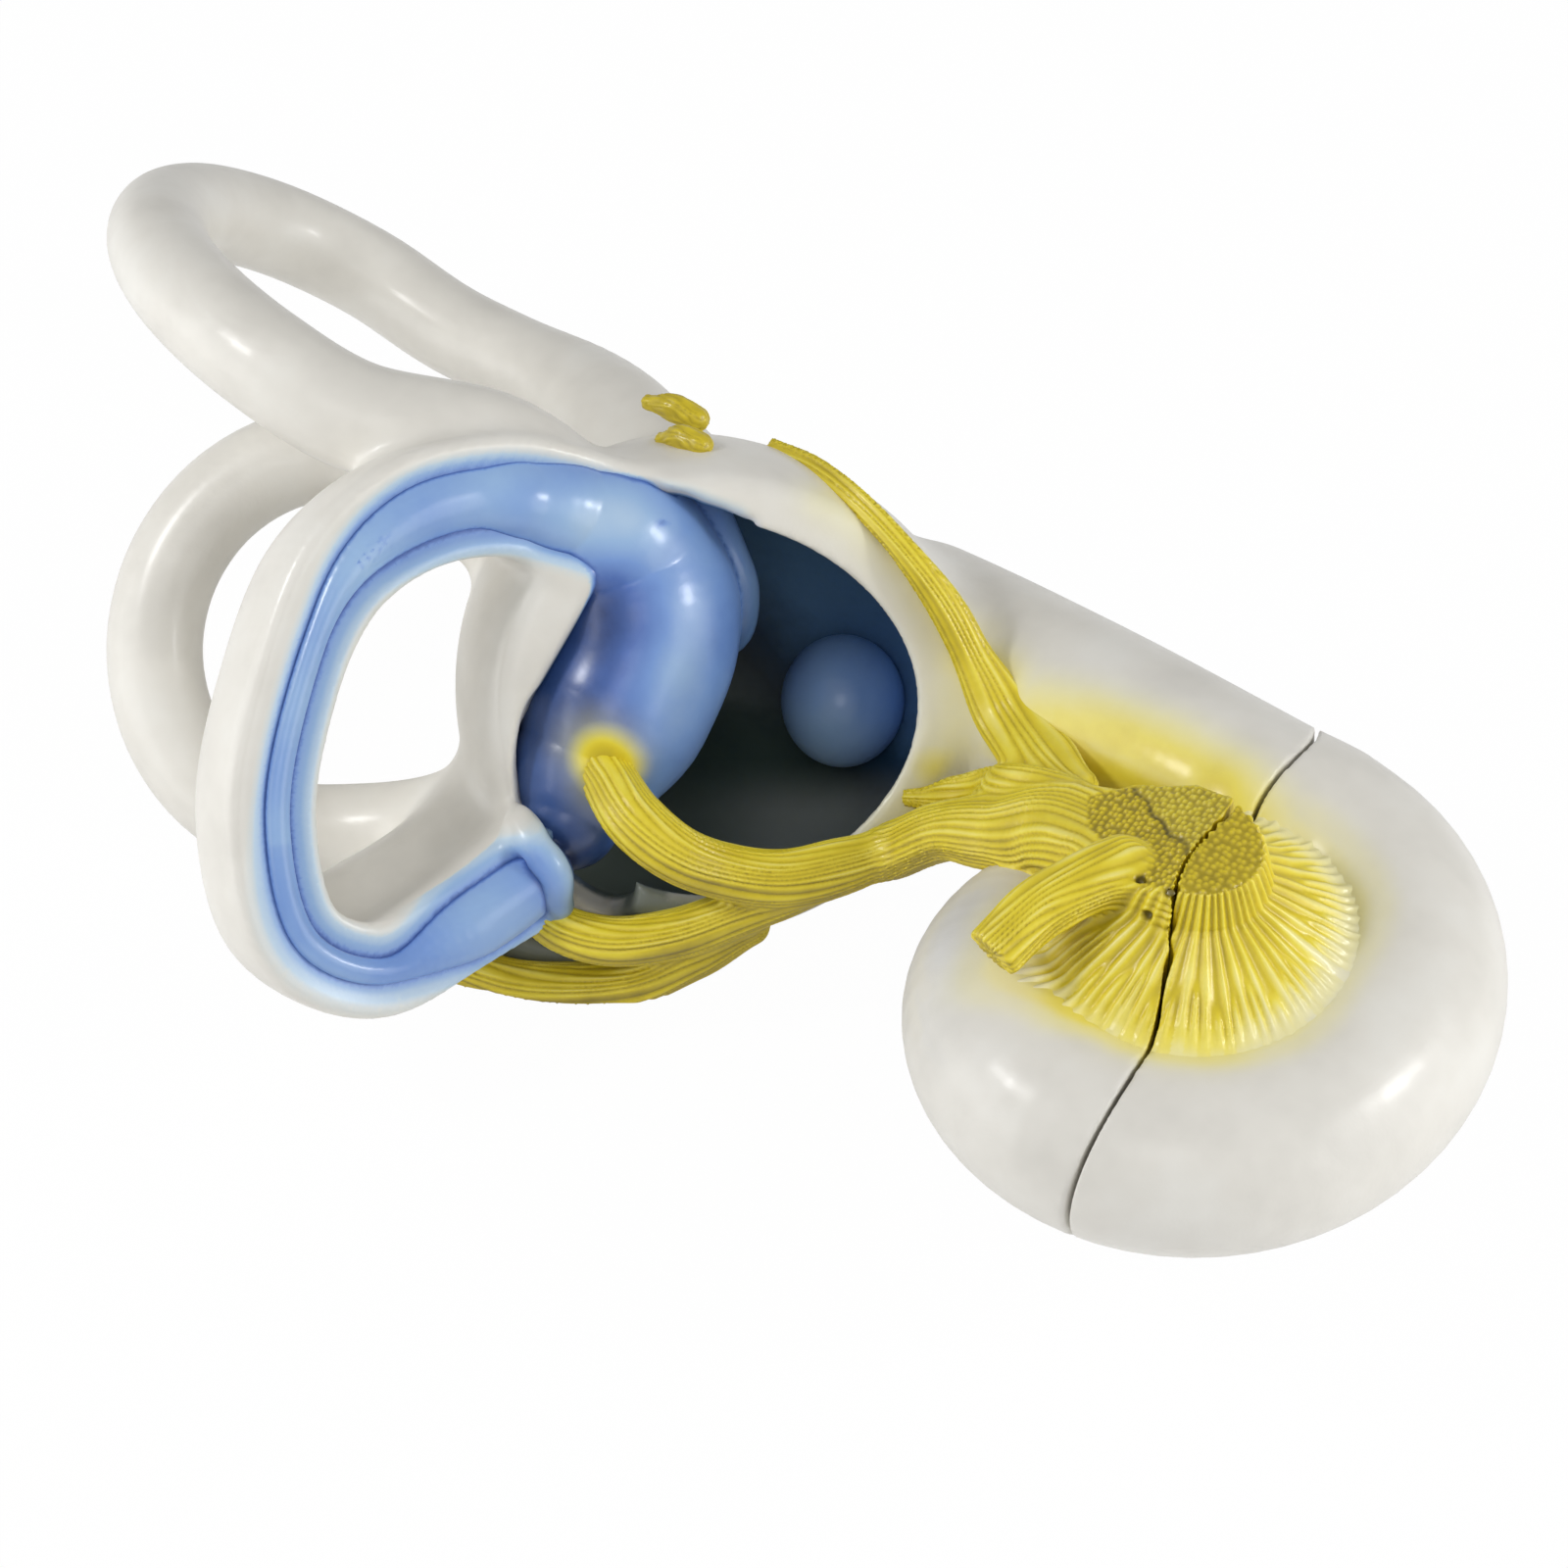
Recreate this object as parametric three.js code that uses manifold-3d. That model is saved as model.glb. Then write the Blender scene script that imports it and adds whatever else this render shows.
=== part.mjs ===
// Inner ear anatomy model: the bony labyrinth of the ear at about eighteen times life size.
// The vestibule and the posterior semicircular canal are cut open to show the blue membranous
// sacs and ducts. The vestibular and cochlear nerves are yellow. The cochlea is split through
// its axis, and the outer half pulls off along +X on two steel pins.
//
// Frame: millimetres, +Z up, the model lying on a table on the flat under its vestibule.
// +X runs along the basal turn from the vestibule to the cochlea, which is the pull-off direction.
import * as THREE from "three";
import { mergeVertices } from "three/addons/utils/BufferGeometryUtils.js";
import Module from "manifold-3d";

const wasm = await Module();
wasm.setup();

// Driving sizes, in millimetres and degrees

const SEAT_GAP = 0.3; // clearance between two pieces fitted against each other
const SMALLEST_DETAIL = 0.05;

const VESTIBULE_HALF_WIDTH = 48;
const VESTIBULE_HALF_LENGTH = 46;
const VESTIBULE_HALF_DEPTH = 42;
const VESTIBULE_TAPER = 0.12; // narrower towards the cochlea
const VESTIBULE_WALL = 5;
const VESTIBULE_FLOOR = 4; // least height of the cavity above the table
const BASE_CENTRE = [0.64, -4.66]; // middle of the flat under the vestibule, moved to the origin
const VIEW_TURN = 33.8; // the open front faces this far round from -Y
const VIEW_TILT = 50; // and this far above the horizon
const RIM_OFFSET = 21;
const RIM_YAW = 7.5;
const RIM_PITCH = -8;

const SUPERIOR_RADIUS = 10;
const SUPERIOR_FAR_RADIUS = 8.8;
const SUPERIOR_AMPULLA_RADIUS = 11.5;
const SUPERIOR_LOOP_LENGTH = 42;
const SUPERIOR_LOOP_WIDTH = 49;

const LATERAL_RADIUS = 9;
const LATERAL_LOOP_LENGTH = 34;
const LATERAL_LOOP_WIDTH = 36;

const SECTION_YAW = 27.6; // the posterior canal's cut face, turned from the front
const SECTION_PITCH = -5.8;
const POSTERIOR_REACH = 54;
const POSTERIOR_HEIGHT = 84;
const POSTERIOR_FACE_WIDTH = 15.5;
const POSTERIOR_ROOT_WIDTH = 21;
const POSTERIOR_DEPTH = 21;
const POSTERIOR_LEAN = 44; // the canal's body leans outwards under its cut face
const WEB_RADIUS = 9.5;
const GROOVE_LIP = 1.6;
const GROOVE_DEPTH = 4.8;
const DUCT_RADIUS = 2.7;
const DUCT_ROOT_RADIUS = 5.2;

const UTRICLE_RADIUS = 17;
const SACCULE_RADIUS = 11.6;

const COCHLEA_OFFSET = [71.899, -44.464]; // in plan, from the narrow end of the vestibule
const COCHLEA_HALF_WIDTH = 35.5; // basal turn's centre line, along X
const COCHLEA_HALF_LENGTH = 38.5; // and along Y
const COCHLEA_HEIGHT = 48; // basal turn's centre line above the table
const BASAL_RADIUS = 17.5;
const BASAL_START_RADIUS = 20.5;
const COCHLEA_WALL = 5.5;
const FOOT_RADIUS = 9;
const PARTITION_THICKNESS = 2.4;
const SPLIT_GAP = 0.8; // the visible joint between the two halves
const FAN_RADIUS = 26;
const FAN_RIDGES = 28;
const NERVE_TOP = 80; // height of the cut ends of the nerve trunk

const PIN_RADIUS = 1.6;
const PIN_LENGTH = 20;
const PIN_SPREAD = 12; // each pin from the cochlea's axis, along Y
const PIN_HEIGHT = 37.5;
const PIN_CLEARANCE = 0.08; // running fit in the sockets
const SOCKET_RADIUS = 3.1;
const SOCKET_LENGTH = 13;

// Frames

const radians = THREE.MathUtils.degToRad;
const vec = (x, y, z) => new THREE.Vector3(x, y, z);

// Right, up and out as seen from the front of the open vestibule
const OUT = vec(
  Math.sin(radians(VIEW_TURN)) * Math.cos(radians(VIEW_TILT)),
  -Math.cos(radians(VIEW_TURN)) * Math.cos(radians(VIEW_TILT)),
  Math.sin(radians(VIEW_TILT)),
);
const RIGHT = vec(Math.cos(radians(VIEW_TURN)), Math.sin(radians(VIEW_TURN)), 0);
const UP = new THREE.Vector3().crossVectors(OUT, RIGHT);
const FRONT_ORIGIN = vec(5.3, 2.9, 37);

// A point given right, up and out
function front(right, up, out) {
  return FRONT_ORIGIN.clone()
    .addScaledVector(RIGHT, right)
    .addScaledVector(UP, up)
    .addScaledVector(OUT, out);
}

// A direction turned by yaw to the right and pitched up from the front
function facing(yaw, pitch) {
  const y = radians(yaw);
  const p = radians(pitch);
  return vec(0, 0, 0)
    .addScaledVector(RIGHT, Math.sin(y) * Math.cos(p))
    .addScaledVector(UP, Math.sin(p))
    .addScaledVector(OUT, Math.cos(y) * Math.cos(p));
}

// Solids

function toSolid(geometry) {
  const bare = new THREE.BufferGeometry();
  bare.setAttribute("position", geometry.getAttribute("position").clone());
  if (geometry.index) bare.setIndex(geometry.index);
  const merged = mergeVertices(bare, 1e-4);
  return new wasm.Manifold(
    new wasm.Mesh({
      numProp: 3,
      vertProperties: new Float32Array(merged.attributes.position.array),
      triVerts: new Uint32Array(merged.index.array),
    }),
  );
}

function toGeometry(solid) {
  const mesh = solid.getMesh();
  const geometry = new THREE.BufferGeometry();
  geometry.setAttribute("position", new THREE.BufferAttribute(mesh.vertProperties, 3));
  geometry.setIndex(new THREE.BufferAttribute(mesh.triVerts, 1));
  geometry.computeVertexNormals();
  return geometry;
}

// A closed solid through rings of points, with the ends closed at each end ring's middle
function loftSolid(rings) {
  const count = rings[0].length;
  const points = rings.flat();
  const middle = (ring) => ring.reduce((sum, p) => sum.add(p), vec(0, 0, 0)).divideScalar(count);
  const first = points.push(middle(rings[0])) - 1;
  const last = points.push(middle(rings[rings.length - 1])) - 1;
  const index = [];
  for (let i = 0; i < rings.length - 1; i++) {
    for (let j = 0; j < count; j++) {
      const a = i * count + j;
      const b = i * count + ((j + 1) % count);
      index.push(a, b, b + count, a, b + count, a + count);
    }
  }
  const end = (rings.length - 1) * count;
  for (let j = 0; j < count; j++) {
    const k = (j + 1) % count;
    index.push(first, k, j, last, end + j, end + k);
  }
  const geometry = new THREE.BufferGeometry().setFromPoints(points);
  geometry.setIndex(index);
  const solid = toSolid(geometry);
  if (solid.volume() > 0) return solid;
  geometry.setIndex(index.reverse());
  return toSolid(geometry);
}

// A bar along a curve, with an oval section. widthAt(u) is its half width across the axis
// called top, and flatness is its half height as a share of that. Both are enlarged by grow.
function sweepSolid(curve, widthAt, options = {}) {
  const { steps = 30, sides = 14, grow = 0, flatness = 1, top = OUT } = options;
  const rings = [];
  for (let i = 0; i <= steps; i++) {
    const u = i / steps;
    const centre = curve.getPointAt(u);
    const side = new THREE.Vector3().crossVectors(curve.getTangentAt(u), top).normalize();
    const rise = new THREE.Vector3().crossVectors(side, curve.getTangentAt(u));
    const ring = [];
    for (let j = 0; j < sides; j++) {
      const angle = (2 * Math.PI * j) / sides;
      ring.push(
        centre
          .clone()
          .addScaledVector(side, (widthAt(u) + grow) * Math.cos(angle))
          .addScaledVector(rise, (widthAt(u) * flatness + grow) * Math.sin(angle)),
      );
    }
    rings.push(ring);
  }
  return loftSolid(rings);
}

// A value read smoothly from a few [position, value] keys
function keyed(keys) {
  return (u) => {
    if (u <= keys[0][0]) return keys[0][1];
    for (let i = 1; i < keys.length; i++) {
      const [u0, v0] = keys[i - 1];
      const [u1, v1] = keys[i];
      if (u <= u1) return THREE.MathUtils.lerp(v0, v1, THREE.MathUtils.smoothstep(u, u0, u1));
    }
    return keys[keys.length - 1][1];
  };
}

const smoothCurve = (points) => new THREE.CatmullRomCurve3(points, false, "centripetal");

// A ball stretched along right, up and out, and narrowed by taper towards the right
function eggSolid(centre, halfRight, halfUp, halfOut, taper = 0, segments = 28) {
  const ball = new THREE.SphereGeometry(1, segments, Math.round(segments / 1.6));
  const position = ball.getAttribute("position");
  for (let i = 0; i < position.count; i++) {
    const narrowing = 1 - taper * position.getX(i);
    position.setXYZ(
      i,
      position.getX(i) * halfRight,
      position.getY(i) * halfUp * narrowing,
      position.getZ(i) * halfOut,
    );
  }
  const basis = new THREE.Matrix4().makeBasis(RIGHT, UP, OUT);
  return toSolid(ball.applyMatrix4(basis.setPosition(centre)));
}

// A solid of revolution standing on Z at (x, y), from [radius, height] pairs
function turnedSolid(profile, x, y, segments = 32) {
  const outline = profile.map(([r, z]) => new THREE.Vector2(r, z));
  const geometry = new THREE.LatheGeometry(outline, segments);
  const solid = toSolid(geometry.rotateX(Math.PI / 2).translate(x, y, 0));
  return solid.volume() > 0 ? solid : toSolid(flipped(geometry));
}

function flipped(geometry) {
  const index = Array.from(geometry.index.array).reverse();
  return geometry.clone().setIndex(index);
}

// What lies on the side of a plane that its normal points away from
function trimmed(solid, point, normal, grow = 0) {
  const n = normal.clone().normalize();
  return solid.trimByPlane(n.clone().negate().toArray(), -n.dot(point) - grow);
}

const aboveTable = (solid, height = 0) => solid.trimByPlane([0, 0, 1], height);

// The biggest of the bodies that a cut leaves
function largest(solid) {
  const bodies = solid.decompose();
  return bodies.reduce((best, body) => (body.volume() > best.volume() ? body : best));
}

// A solid cut back from its neighbours, each given as a form that can be enlarged
function seated(solid, ...neighbours) {
  const cut = neighbours.reduce((rest, form) => rest.subtract(form(SEAT_GAP)), solid);
  return largest(cut);
}

// Vestibule

const vestibuleCentre = front(-6, 0, 0);
const vestibuleEgg = (grow) =>
  eggSolid(
    vestibuleCentre,
    VESTIBULE_HALF_WIDTH + grow,
    VESTIBULE_HALF_LENGTH + grow,
    VESTIBULE_HALF_DEPTH + grow,
    VESTIBULE_TAPER,
  );
const cavity = (inset) =>
  aboveTable(vestibuleEgg(-VESTIBULE_WALL - inset), VESTIBULE_FLOOR + inset);
// A point placed by shares of the vestibule's half sizes, from its middle
const besideVestibule = (right, up, out) =>
  vestibuleCentre
    .clone()
    .addScaledVector(RIGHT, right * VESTIBULE_HALF_WIDTH)
    .addScaledVector(UP, up * VESTIBULE_HALF_LENGTH)
    .addScaledVector(OUT, out * VESTIBULE_HALF_DEPTH);
const rimNormal = facing(RIM_YAW, RIM_PITCH);
const rimPoint = vestibuleCentre.clone().addScaledVector(OUT, RIM_OFFSET);

// Semicircular canals

// Part of an ellipse round a middle, whose half axes are tip and side
function loopArc(middle, tip, side, from, to, count) {
  const points = [];
  for (let i = 0; i < count; i++) {
    const angle = radians(THREE.MathUtils.lerp(from, to, i / (count - 1)));
    points.push(
      middle
        .clone()
        .addScaledVector(tip, Math.cos(angle))
        .addScaledVector(side, Math.sin(angle)),
    );
  }
  return points;
}

const frontDirection = (right, up, out) =>
  front(right, up, out).sub(FRONT_ORIGIN).normalize();

const superiorMiddle = besideVestibule(-1.458, 1.457, -0.571);
const superiorTip = frontDirection(-36.5, 23, -6).multiplyScalar(SUPERIOR_LOOP_LENGTH);
const superiorSide = frontDirection(-4.2, -14, 48).multiplyScalar(SUPERIOR_LOOP_WIDTH);
const superiorCurve = smoothCurve([
  besideVestibule(-0.5, 0.652, 0.286),
  besideVestibule(-0.833, 0.913, 0.476),
  ...loopArc(superiorMiddle, superiorTip, superiorSide, 105, -110, 9),
  besideVestibule(-0.562, 1.239, -1.095),
  besideVestibule(-0.167, 0.826, -0.429),
]);
const superiorRadius = keyed([
  [0, SUPERIOR_RADIUS * 1.15],
  [0.12, SUPERIOR_RADIUS],
  [0.5, SUPERIOR_FAR_RADIUS + 0.5],
  [0.8, SUPERIOR_FAR_RADIUS],
  [0.93, SUPERIOR_AMPULLA_RADIUS],
  [1, SUPERIOR_AMPULLA_RADIUS],
]);
const superiorPlane = new THREE.Vector3().crossVectors(superiorTip, superiorSide).normalize();
const superiorTube = (grow) =>
  sweepSolid(superiorCurve, superiorRadius, { steps: 32, sides: 12, grow, top: superiorPlane });

const lateralMiddle = besideVestibule(-1.5, 0.185, -0.417);
const lateralTip = frontDirection(-34, 1, -3).multiplyScalar(LATERAL_LOOP_LENGTH);
const lateralSide = frontDirection(2, 37, -3).multiplyScalar(LATERAL_LOOP_WIDTH);
const lateralCurve = smoothCurve([
  besideVestibule(-0.5, 0.348, 0),
  besideVestibule(-0.958, 0.739, -0.214),
  ...loopArc(lateralMiddle, lateralTip, lateralSide, 95, -100, 9),
  besideVestibule(-1, -0.522, -0.167),
  besideVestibule(-0.5, -0.217, 0),
]);
const lateralRadius = keyed([
  [0, LATERAL_RADIUS * 1.2],
  [0.2, LATERAL_RADIUS],
  [0.85, LATERAL_RADIUS],
  [1, LATERAL_RADIUS * 1.2],
]);
const lateralTube = (grow) => sweepSolid(lateralCurve, lateralRadius, { steps: 30, sides: 12, grow });

const sectionNormal = facing(SECTION_YAW, SECTION_PITCH);
const sectionOrigin = besideVestibule(-0.542, 0, 0.595);
const sectionAcross = new THREE.Vector3().crossVectors(UP, sectionNormal).normalize();
const sectionUp = new THREE.Vector3().crossVectors(sectionNormal, sectionAcross);

// A point on the posterior canal's cut face, across and up it
const onSection = (across, up) =>
  sectionOrigin
    .clone()
    .addScaledVector(sectionAcross, across)
    .addScaledVector(sectionUp, up);

// The same, as shares of the canal's reach and height, and sunk under the face
const underSection = (across, up, depth) =>
  onSection(across * POSTERIOR_REACH, up * POSTERIOR_HEIGHT).addScaledVector(sectionNormal, -depth);

// The canal's middle line on its cut face, as shares of its reach and height
const POSTERIOR_LINE = [
  [0.2, 0.33],
  [-0.02, 0.37],
  [-0.27, 0.39],
  [-0.56, 0.345],
  [-0.79, 0.22],
  [-0.94, -0.02],
  [-1.0, -0.3],
  [-0.88, -0.55],
  [-0.62, -0.615],
  [-0.34, -0.535],
  [-0.04, -0.41],
  [0.1, -0.33],
];
const posteriorCurve = smoothCurve(
  POSTERIOR_LINE.map(([a, b]) => onSection(a * POSTERIOR_REACH, b * POSTERIOR_HEIGHT)),
);
const posteriorWidth = keyed([
  [0, POSTERIOR_ROOT_WIDTH],
  [0.2, POSTERIOR_ROOT_WIDTH - 1],
  [0.42, POSTERIOR_FACE_WIDTH],
  [0.85, POSTERIOR_FACE_WIDTH + 0.5],
  [1, POSTERIOR_ROOT_WIDTH - 2],
]);
const ductRadius = keyed([
  [0, DUCT_ROOT_RADIUS],
  [0.18, DUCT_ROOT_RADIUS],
  [0.4, DUCT_RADIUS],
  [0.8, DUCT_RADIUS],
  [0.9, DUCT_ROOT_RADIUS],
  [1, DUCT_RADIUS],
]);

const POSTERIOR_STEPS = 30;

// Rings along the posterior canal, from section(u) in widths across it and heights off its face
function posteriorRings(steps, section, rise = sectionNormal) {
  const rings = [];
  for (let i = 0; i <= steps; i++) {
    const u = i / steps;
    const centre = posteriorCurve.getPointAt(u);
    const tangent = posteriorCurve.getTangentAt(u);
    const outward = new THREE.Vector3().crossVectors(sectionNormal, tangent).normalize();
    rings.push(
      section(u).map(([across, height]) =>
        centre
          .clone()
          .addScaledVector(outward, across)
          .addScaledVector(rise, height),
      ),
    );
  }
  return rings;
}

// Half an oval below the face, from one side to the other
function halfOval(halfWidth, depth, count) {
  const points = [];
  for (let i = 0; i <= count; i++) {
    const angle = (Math.PI * i) / count;
    points.push([halfWidth * Math.cos(angle), -depth * Math.sin(angle)]);
  }
  return points;
}

const posteriorBody = (grow) =>
  loftSolid(
    posteriorRings(POSTERIOR_STEPS, (u) => {
      const half = posteriorWidth(u) / 2 + grow;
      const back = halfOval(half + 1, POSTERIOR_DEPTH + grow, 8).slice(1, -1);
      return [[half, grow], ...back, [-half, grow]];
    }, facing(POSTERIOR_LEAN, SECTION_PITCH)),
  );

// The web of bone between the posterior canal's lower leg and the lateral canal
const posteriorWeb = (grow) =>
  sweepSolid(
    smoothCurve([
      besideVestibule(-1.438, -0.95, 0.381),
      besideVestibule(-1.137, -0.761, 0.19),
      besideVestibule(-0.848, -0.509, 0.048),
    ]),
    keyed([[0, WEB_RADIUS], [1, WEB_RADIUS]]),
    { steps: 8, sides: 12, grow },
  );
const posteriorBack = (grow) => posteriorBody(grow).add(posteriorWeb(grow));

const grooveDepth = (u) => GROOVE_DEPTH + 1.6 * (ductRadius(u) - DUCT_RADIUS);
const posteriorGroove = (inset = 0) =>
  loftSolid(
    posteriorRings(POSTERIOR_STEPS, (u) => {
      const half = posteriorWidth(u) / 2 - GROOVE_LIP - inset;
      return [[half, 9], ...halfOval(half, grooveDepth(u) - inset, 6), [-half, 9]];
    }),
  );

const posteriorDuct = (grow) =>
  loftSolid(
    posteriorRings(POSTERIOR_STEPS, (u) => {
      const radius = ductRadius(u) + grow;
      const depth = grooveDepth(u) - ductRadius(u) - SEAT_GAP;
      const ring = [];
      for (let j = 0; j < 8; j++) {
        const angle = (2 * Math.PI * j) / 8;
        ring.push([radius * Math.cos(angle), radius * Math.sin(angle) - depth]);
      }
      return ring;
    }),
  );

// Membranous sacs

const utricleCurve = smoothCurve([
  besideVestibule(-0.708, 0.696, 0.69),
  besideVestibule(-0.5, 0.652, 0.476),
  besideVestibule(-0.312, 0.478, 0.262),
  besideVestibule(-0.281, 0.196, 0.202),
  besideVestibule(-0.385, -0.13, 0.202),
  besideVestibule(-0.49, -0.413, 0.214),
  besideVestibule(-0.562, -0.63, 0.286),
]);
const utricleWidth = keyed([
  [0, UTRICLE_RADIUS * 0.3],
  [0.14, UTRICLE_RADIUS * 0.5],
  [0.34, UTRICLE_RADIUS * 0.88],
  [0.5, UTRICLE_RADIUS],
  [0.7, UTRICLE_RADIUS * 0.95],
  [0.85, UTRICLE_RADIUS * 0.7],
  [1, UTRICLE_RADIUS * 0.4],
]);

// A point beside the utricle, as shares of its radius from its middle line at u
const onUtricle = (u, right, up, out) =>
  utricleCurve
    .getPointAt(u)
    .addScaledVector(RIGHT, right * UTRICLE_RADIUS)
    .addScaledVector(UP, up * UTRICLE_RADIUS)
    .addScaledVector(OUT, out * UTRICLE_RADIUS);
const utricle = (grow) =>
  sweepSolid(utricleCurve, utricleWidth, { steps: 18, sides: 16, grow });

const saccule = (grow) =>
  eggSolid(
    besideVestibule(0.485, -0.052, -0.488),
    SACCULE_RADIUS + grow,
    SACCULE_RADIUS * 1.08 + grow,
    SACCULE_RADIUS * 1.15 + grow,
    0,
    18,
  );

const superiorDuct = (grow) =>
  sweepSolid(
    smoothCurve([
      onUtricle(0.3, 0.55, 0.93, -0.33),
      onUtricle(0.3, 0.82, 0.55, -0.33),
      onUtricle(0.3, 1.02, 0, -0.36),
      onUtricle(0.5, 1, 0, -0.5),
    ]),
    keyed([[0, 4], [0.6, 3.4], [1, 1.8]]),
    { steps: 12, sides: 12, grow },
  );

// Cochlea

const vestibuleEnd = besideVestibule(1, 0, 0);
const cochleaX = vestibuleEnd.x + COCHLEA_OFFSET[0];
const cochleaY = vestibuleEnd.y + COCHLEA_OFFSET[1];

// A point placed in plan from the cochlea's axis, at a height above the table
const besideCochlea = (x, y, z) => vec(cochleaX + x, cochleaY + y, z);

const SPIRAL_END = 900; // degrees round the spiral

// Shares of the basal turn's size, height and tube radius, by degrees round the spiral
const turnSize = keyed([
  [0, 1],
  [180, 0.97],
  [270, 0.88],
  [360, 0.53],
  [540, 0.45],
  [720, 0.25],
  [SPIRAL_END, 0.1],
]);
const turnHeight = keyed([
  [180, 1],
  [360, 0.53],
  [540, 0.4],
  [720, 0.23],
  [SPIRAL_END, 0.19],
]);
const turnTube = keyed([
  [0, 1],
  [230, 0.98],
  [360, 0.71],
  [540, 0.62],
  [720, 0.54],
  [SPIRAL_END, 0.42],
]);

// The cochlear tube's centre line from one angle round the spiral to another
class SpiralCurve extends THREE.Curve {
  constructor(from, to) {
    super();
    this.from = from;
    this.to = to;
  }
  angleAt(u) {
    return THREE.MathUtils.lerp(this.from, this.to, u);
  }
  getPoint(u) {
    const turn = this.angleAt(u);
    const angle = radians(90 - turn);
    return vec(
      cochleaX + COCHLEA_HALF_WIDTH * turnSize(turn) * Math.cos(angle),
      cochleaY + COCHLEA_HALF_LENGTH * turnSize(turn) * Math.sin(angle),
      COCHLEA_HEIGHT * turnHeight(turn),
    );
  }
  getPointAt(u) {
    return this.getPoint(u);
  }
  getTangentAt(u) {
    return this.getTangent(u);
  }
}

const AXIS = vec(0, 0, 1);

function spiralTube(from, to, grow, sides = 14) {
  const curve = new SpiralCurve(from, to);
  const hidden = (u) => (u === 0 ? 0.97 : 1); // the first ring lies inside the turn before
  const radius = (u) => BASAL_RADIUS * turnTube(curve.angleAt(u)) * hidden(u);
  const steps = Math.round((to - from) / 15);
  return sweepSolid(curve, radius, { steps, sides, grow, top: AXIS });
}

const basalEnd = new SpiralCurve(0, 360).getPoint(0);

const basalLine = [
  vec(cochleaX - 90.1, basalEnd.y + 14, basalEnd.z - 20),
  vec(cochleaX - 64.1, basalEnd.y + 10, basalEnd.z - 13.5),
  vec(cochleaX - 40.1, basalEnd.y + 5.5, basalEnd.z - 6.5),
  vec(cochleaX - 18.1, basalEnd.y + 1.5, basalEnd.z - 1.2),
  basalEnd,
];

function basalTube(grow, skipped = 0) {
  const curve = smoothCurve(basalLine.slice(skipped));
  const radius = keyed([[0, BASAL_START_RADIUS], [1, BASAL_RADIUS]]);
  return sweepSolid(curve, radius, { steps: 8, sides: 14, grow, top: AXIS });
}

// The bone between the turns, and the flat foot under the tip of the spiral
const cochleaCore = (grow) =>
  turnedSolid(
    [
      [0, 0],
      [FOOT_RADIUS + grow, 0],
      [14 + grow, 12],
      [22 + grow, 24],
      [28 + grow, 34],
      [28 + grow, 42 + grow],
      [0, 42 + grow],
    ],
    cochleaX,
    cochleaY,
  );

const TURNS = [
  [-15, 195],
  [180, 375],
  [360, 555],
  [540, 735],
  [720, SPIRAL_END],
];
const cochleaForm = (grow) =>
  TURNS.map(([from, to]) => spiralTube(from, to, grow)).reduce(
    (whole, turn) => whole.add(turn),
    basalTube(grow).add(cochleaCore(grow)),
  );

const LUMENS = [
  [-15, 195],
  [180, 375],
  [360, 555],
  [540, 705],
];
const cochleaLumen = (grow) =>
  LUMENS.map(([from, to]) => spiralTube(from, to, grow - COCHLEA_WALL, 10)).reduce(
    (whole, turn) => whole.add(turn),
    basalTube(grow - COCHLEA_WALL, 1),
  );

// The wavy surface where the cochlea comes apart, as points in plan from the cochlea's axis
const SPLIT_POINTS = [
  [-0.1, 88.2],
  [-9.1, 60.2],
  [-4.6, 45.2],
  [-5.6, 29.2],
  [-3.1, 14.2],
  [-3.6, 0.2],
  [-1.6, -7.8],
  [2.4, -15.8],
  [5.9, -27.8],
  [7.4, -39.8],
  [6.9, -61.8],
];
const splitLine = new THREE.SplineCurve(
  SPLIT_POINTS.map(([x, y]) => new THREE.Vector2(cochleaX + x, cochleaY + y)),
).getPoints(40);

// Everything on one side of the split. A far X of either sign chooses the side.
function splitSide(farX, inset) {
  const shift = Math.sign(farX) * (SPLIT_GAP / 2 + inset);
  const near = splitLine.map((p) => new THREE.Vector2(p.x + shift, p.y));
  const first = near[0];
  const last = near[near.length - 1];
  const corners = [...near, new THREE.Vector2(farX, last.y), new THREE.Vector2(farX, first.y)];
  const shape = new THREE.Shape(corners);
  return toSolid(new THREE.ExtrudeGeometry(shape, { depth: 120, bevelEnabled: false }));
}
const fixedSide = splitSide(-220, 0);
const capSide = splitSide(220, 0);

// A thin shelf across the lumen, following the spiral
function partition(from, to) {
  const curve = new SpiralCurve(from, to);
  const inside = (u) => BASAL_RADIUS * turnTube(curve.angleAt(u)) - COCHLEA_WALL + 1;
  const steps = Math.max(4, Math.round((to - from) / 15));
  const shelf = [];
  for (let i = 0; i <= steps; i++) {
    const u = i / steps;
    const side = new THREE.Vector3().crossVectors(curve.getTangentAt(u), AXIS).normalize();
    const centre = curve.getPointAt(u);
    const half = inside(u);
    const corners = [
      [half, 0.5],
      [half, -0.5],
      [-half, -0.5],
      [-half, 0.5],
    ];
    shelf.push(
      corners.map(([across, rise]) =>
        centre
          .clone()
          .addScaledVector(side, across)
          .addScaledVector(AXIS, rise * PARTITION_THICKNESS),
      ),
    );
  }
  return loftSolid(shelf);
}

// Nerves

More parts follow.
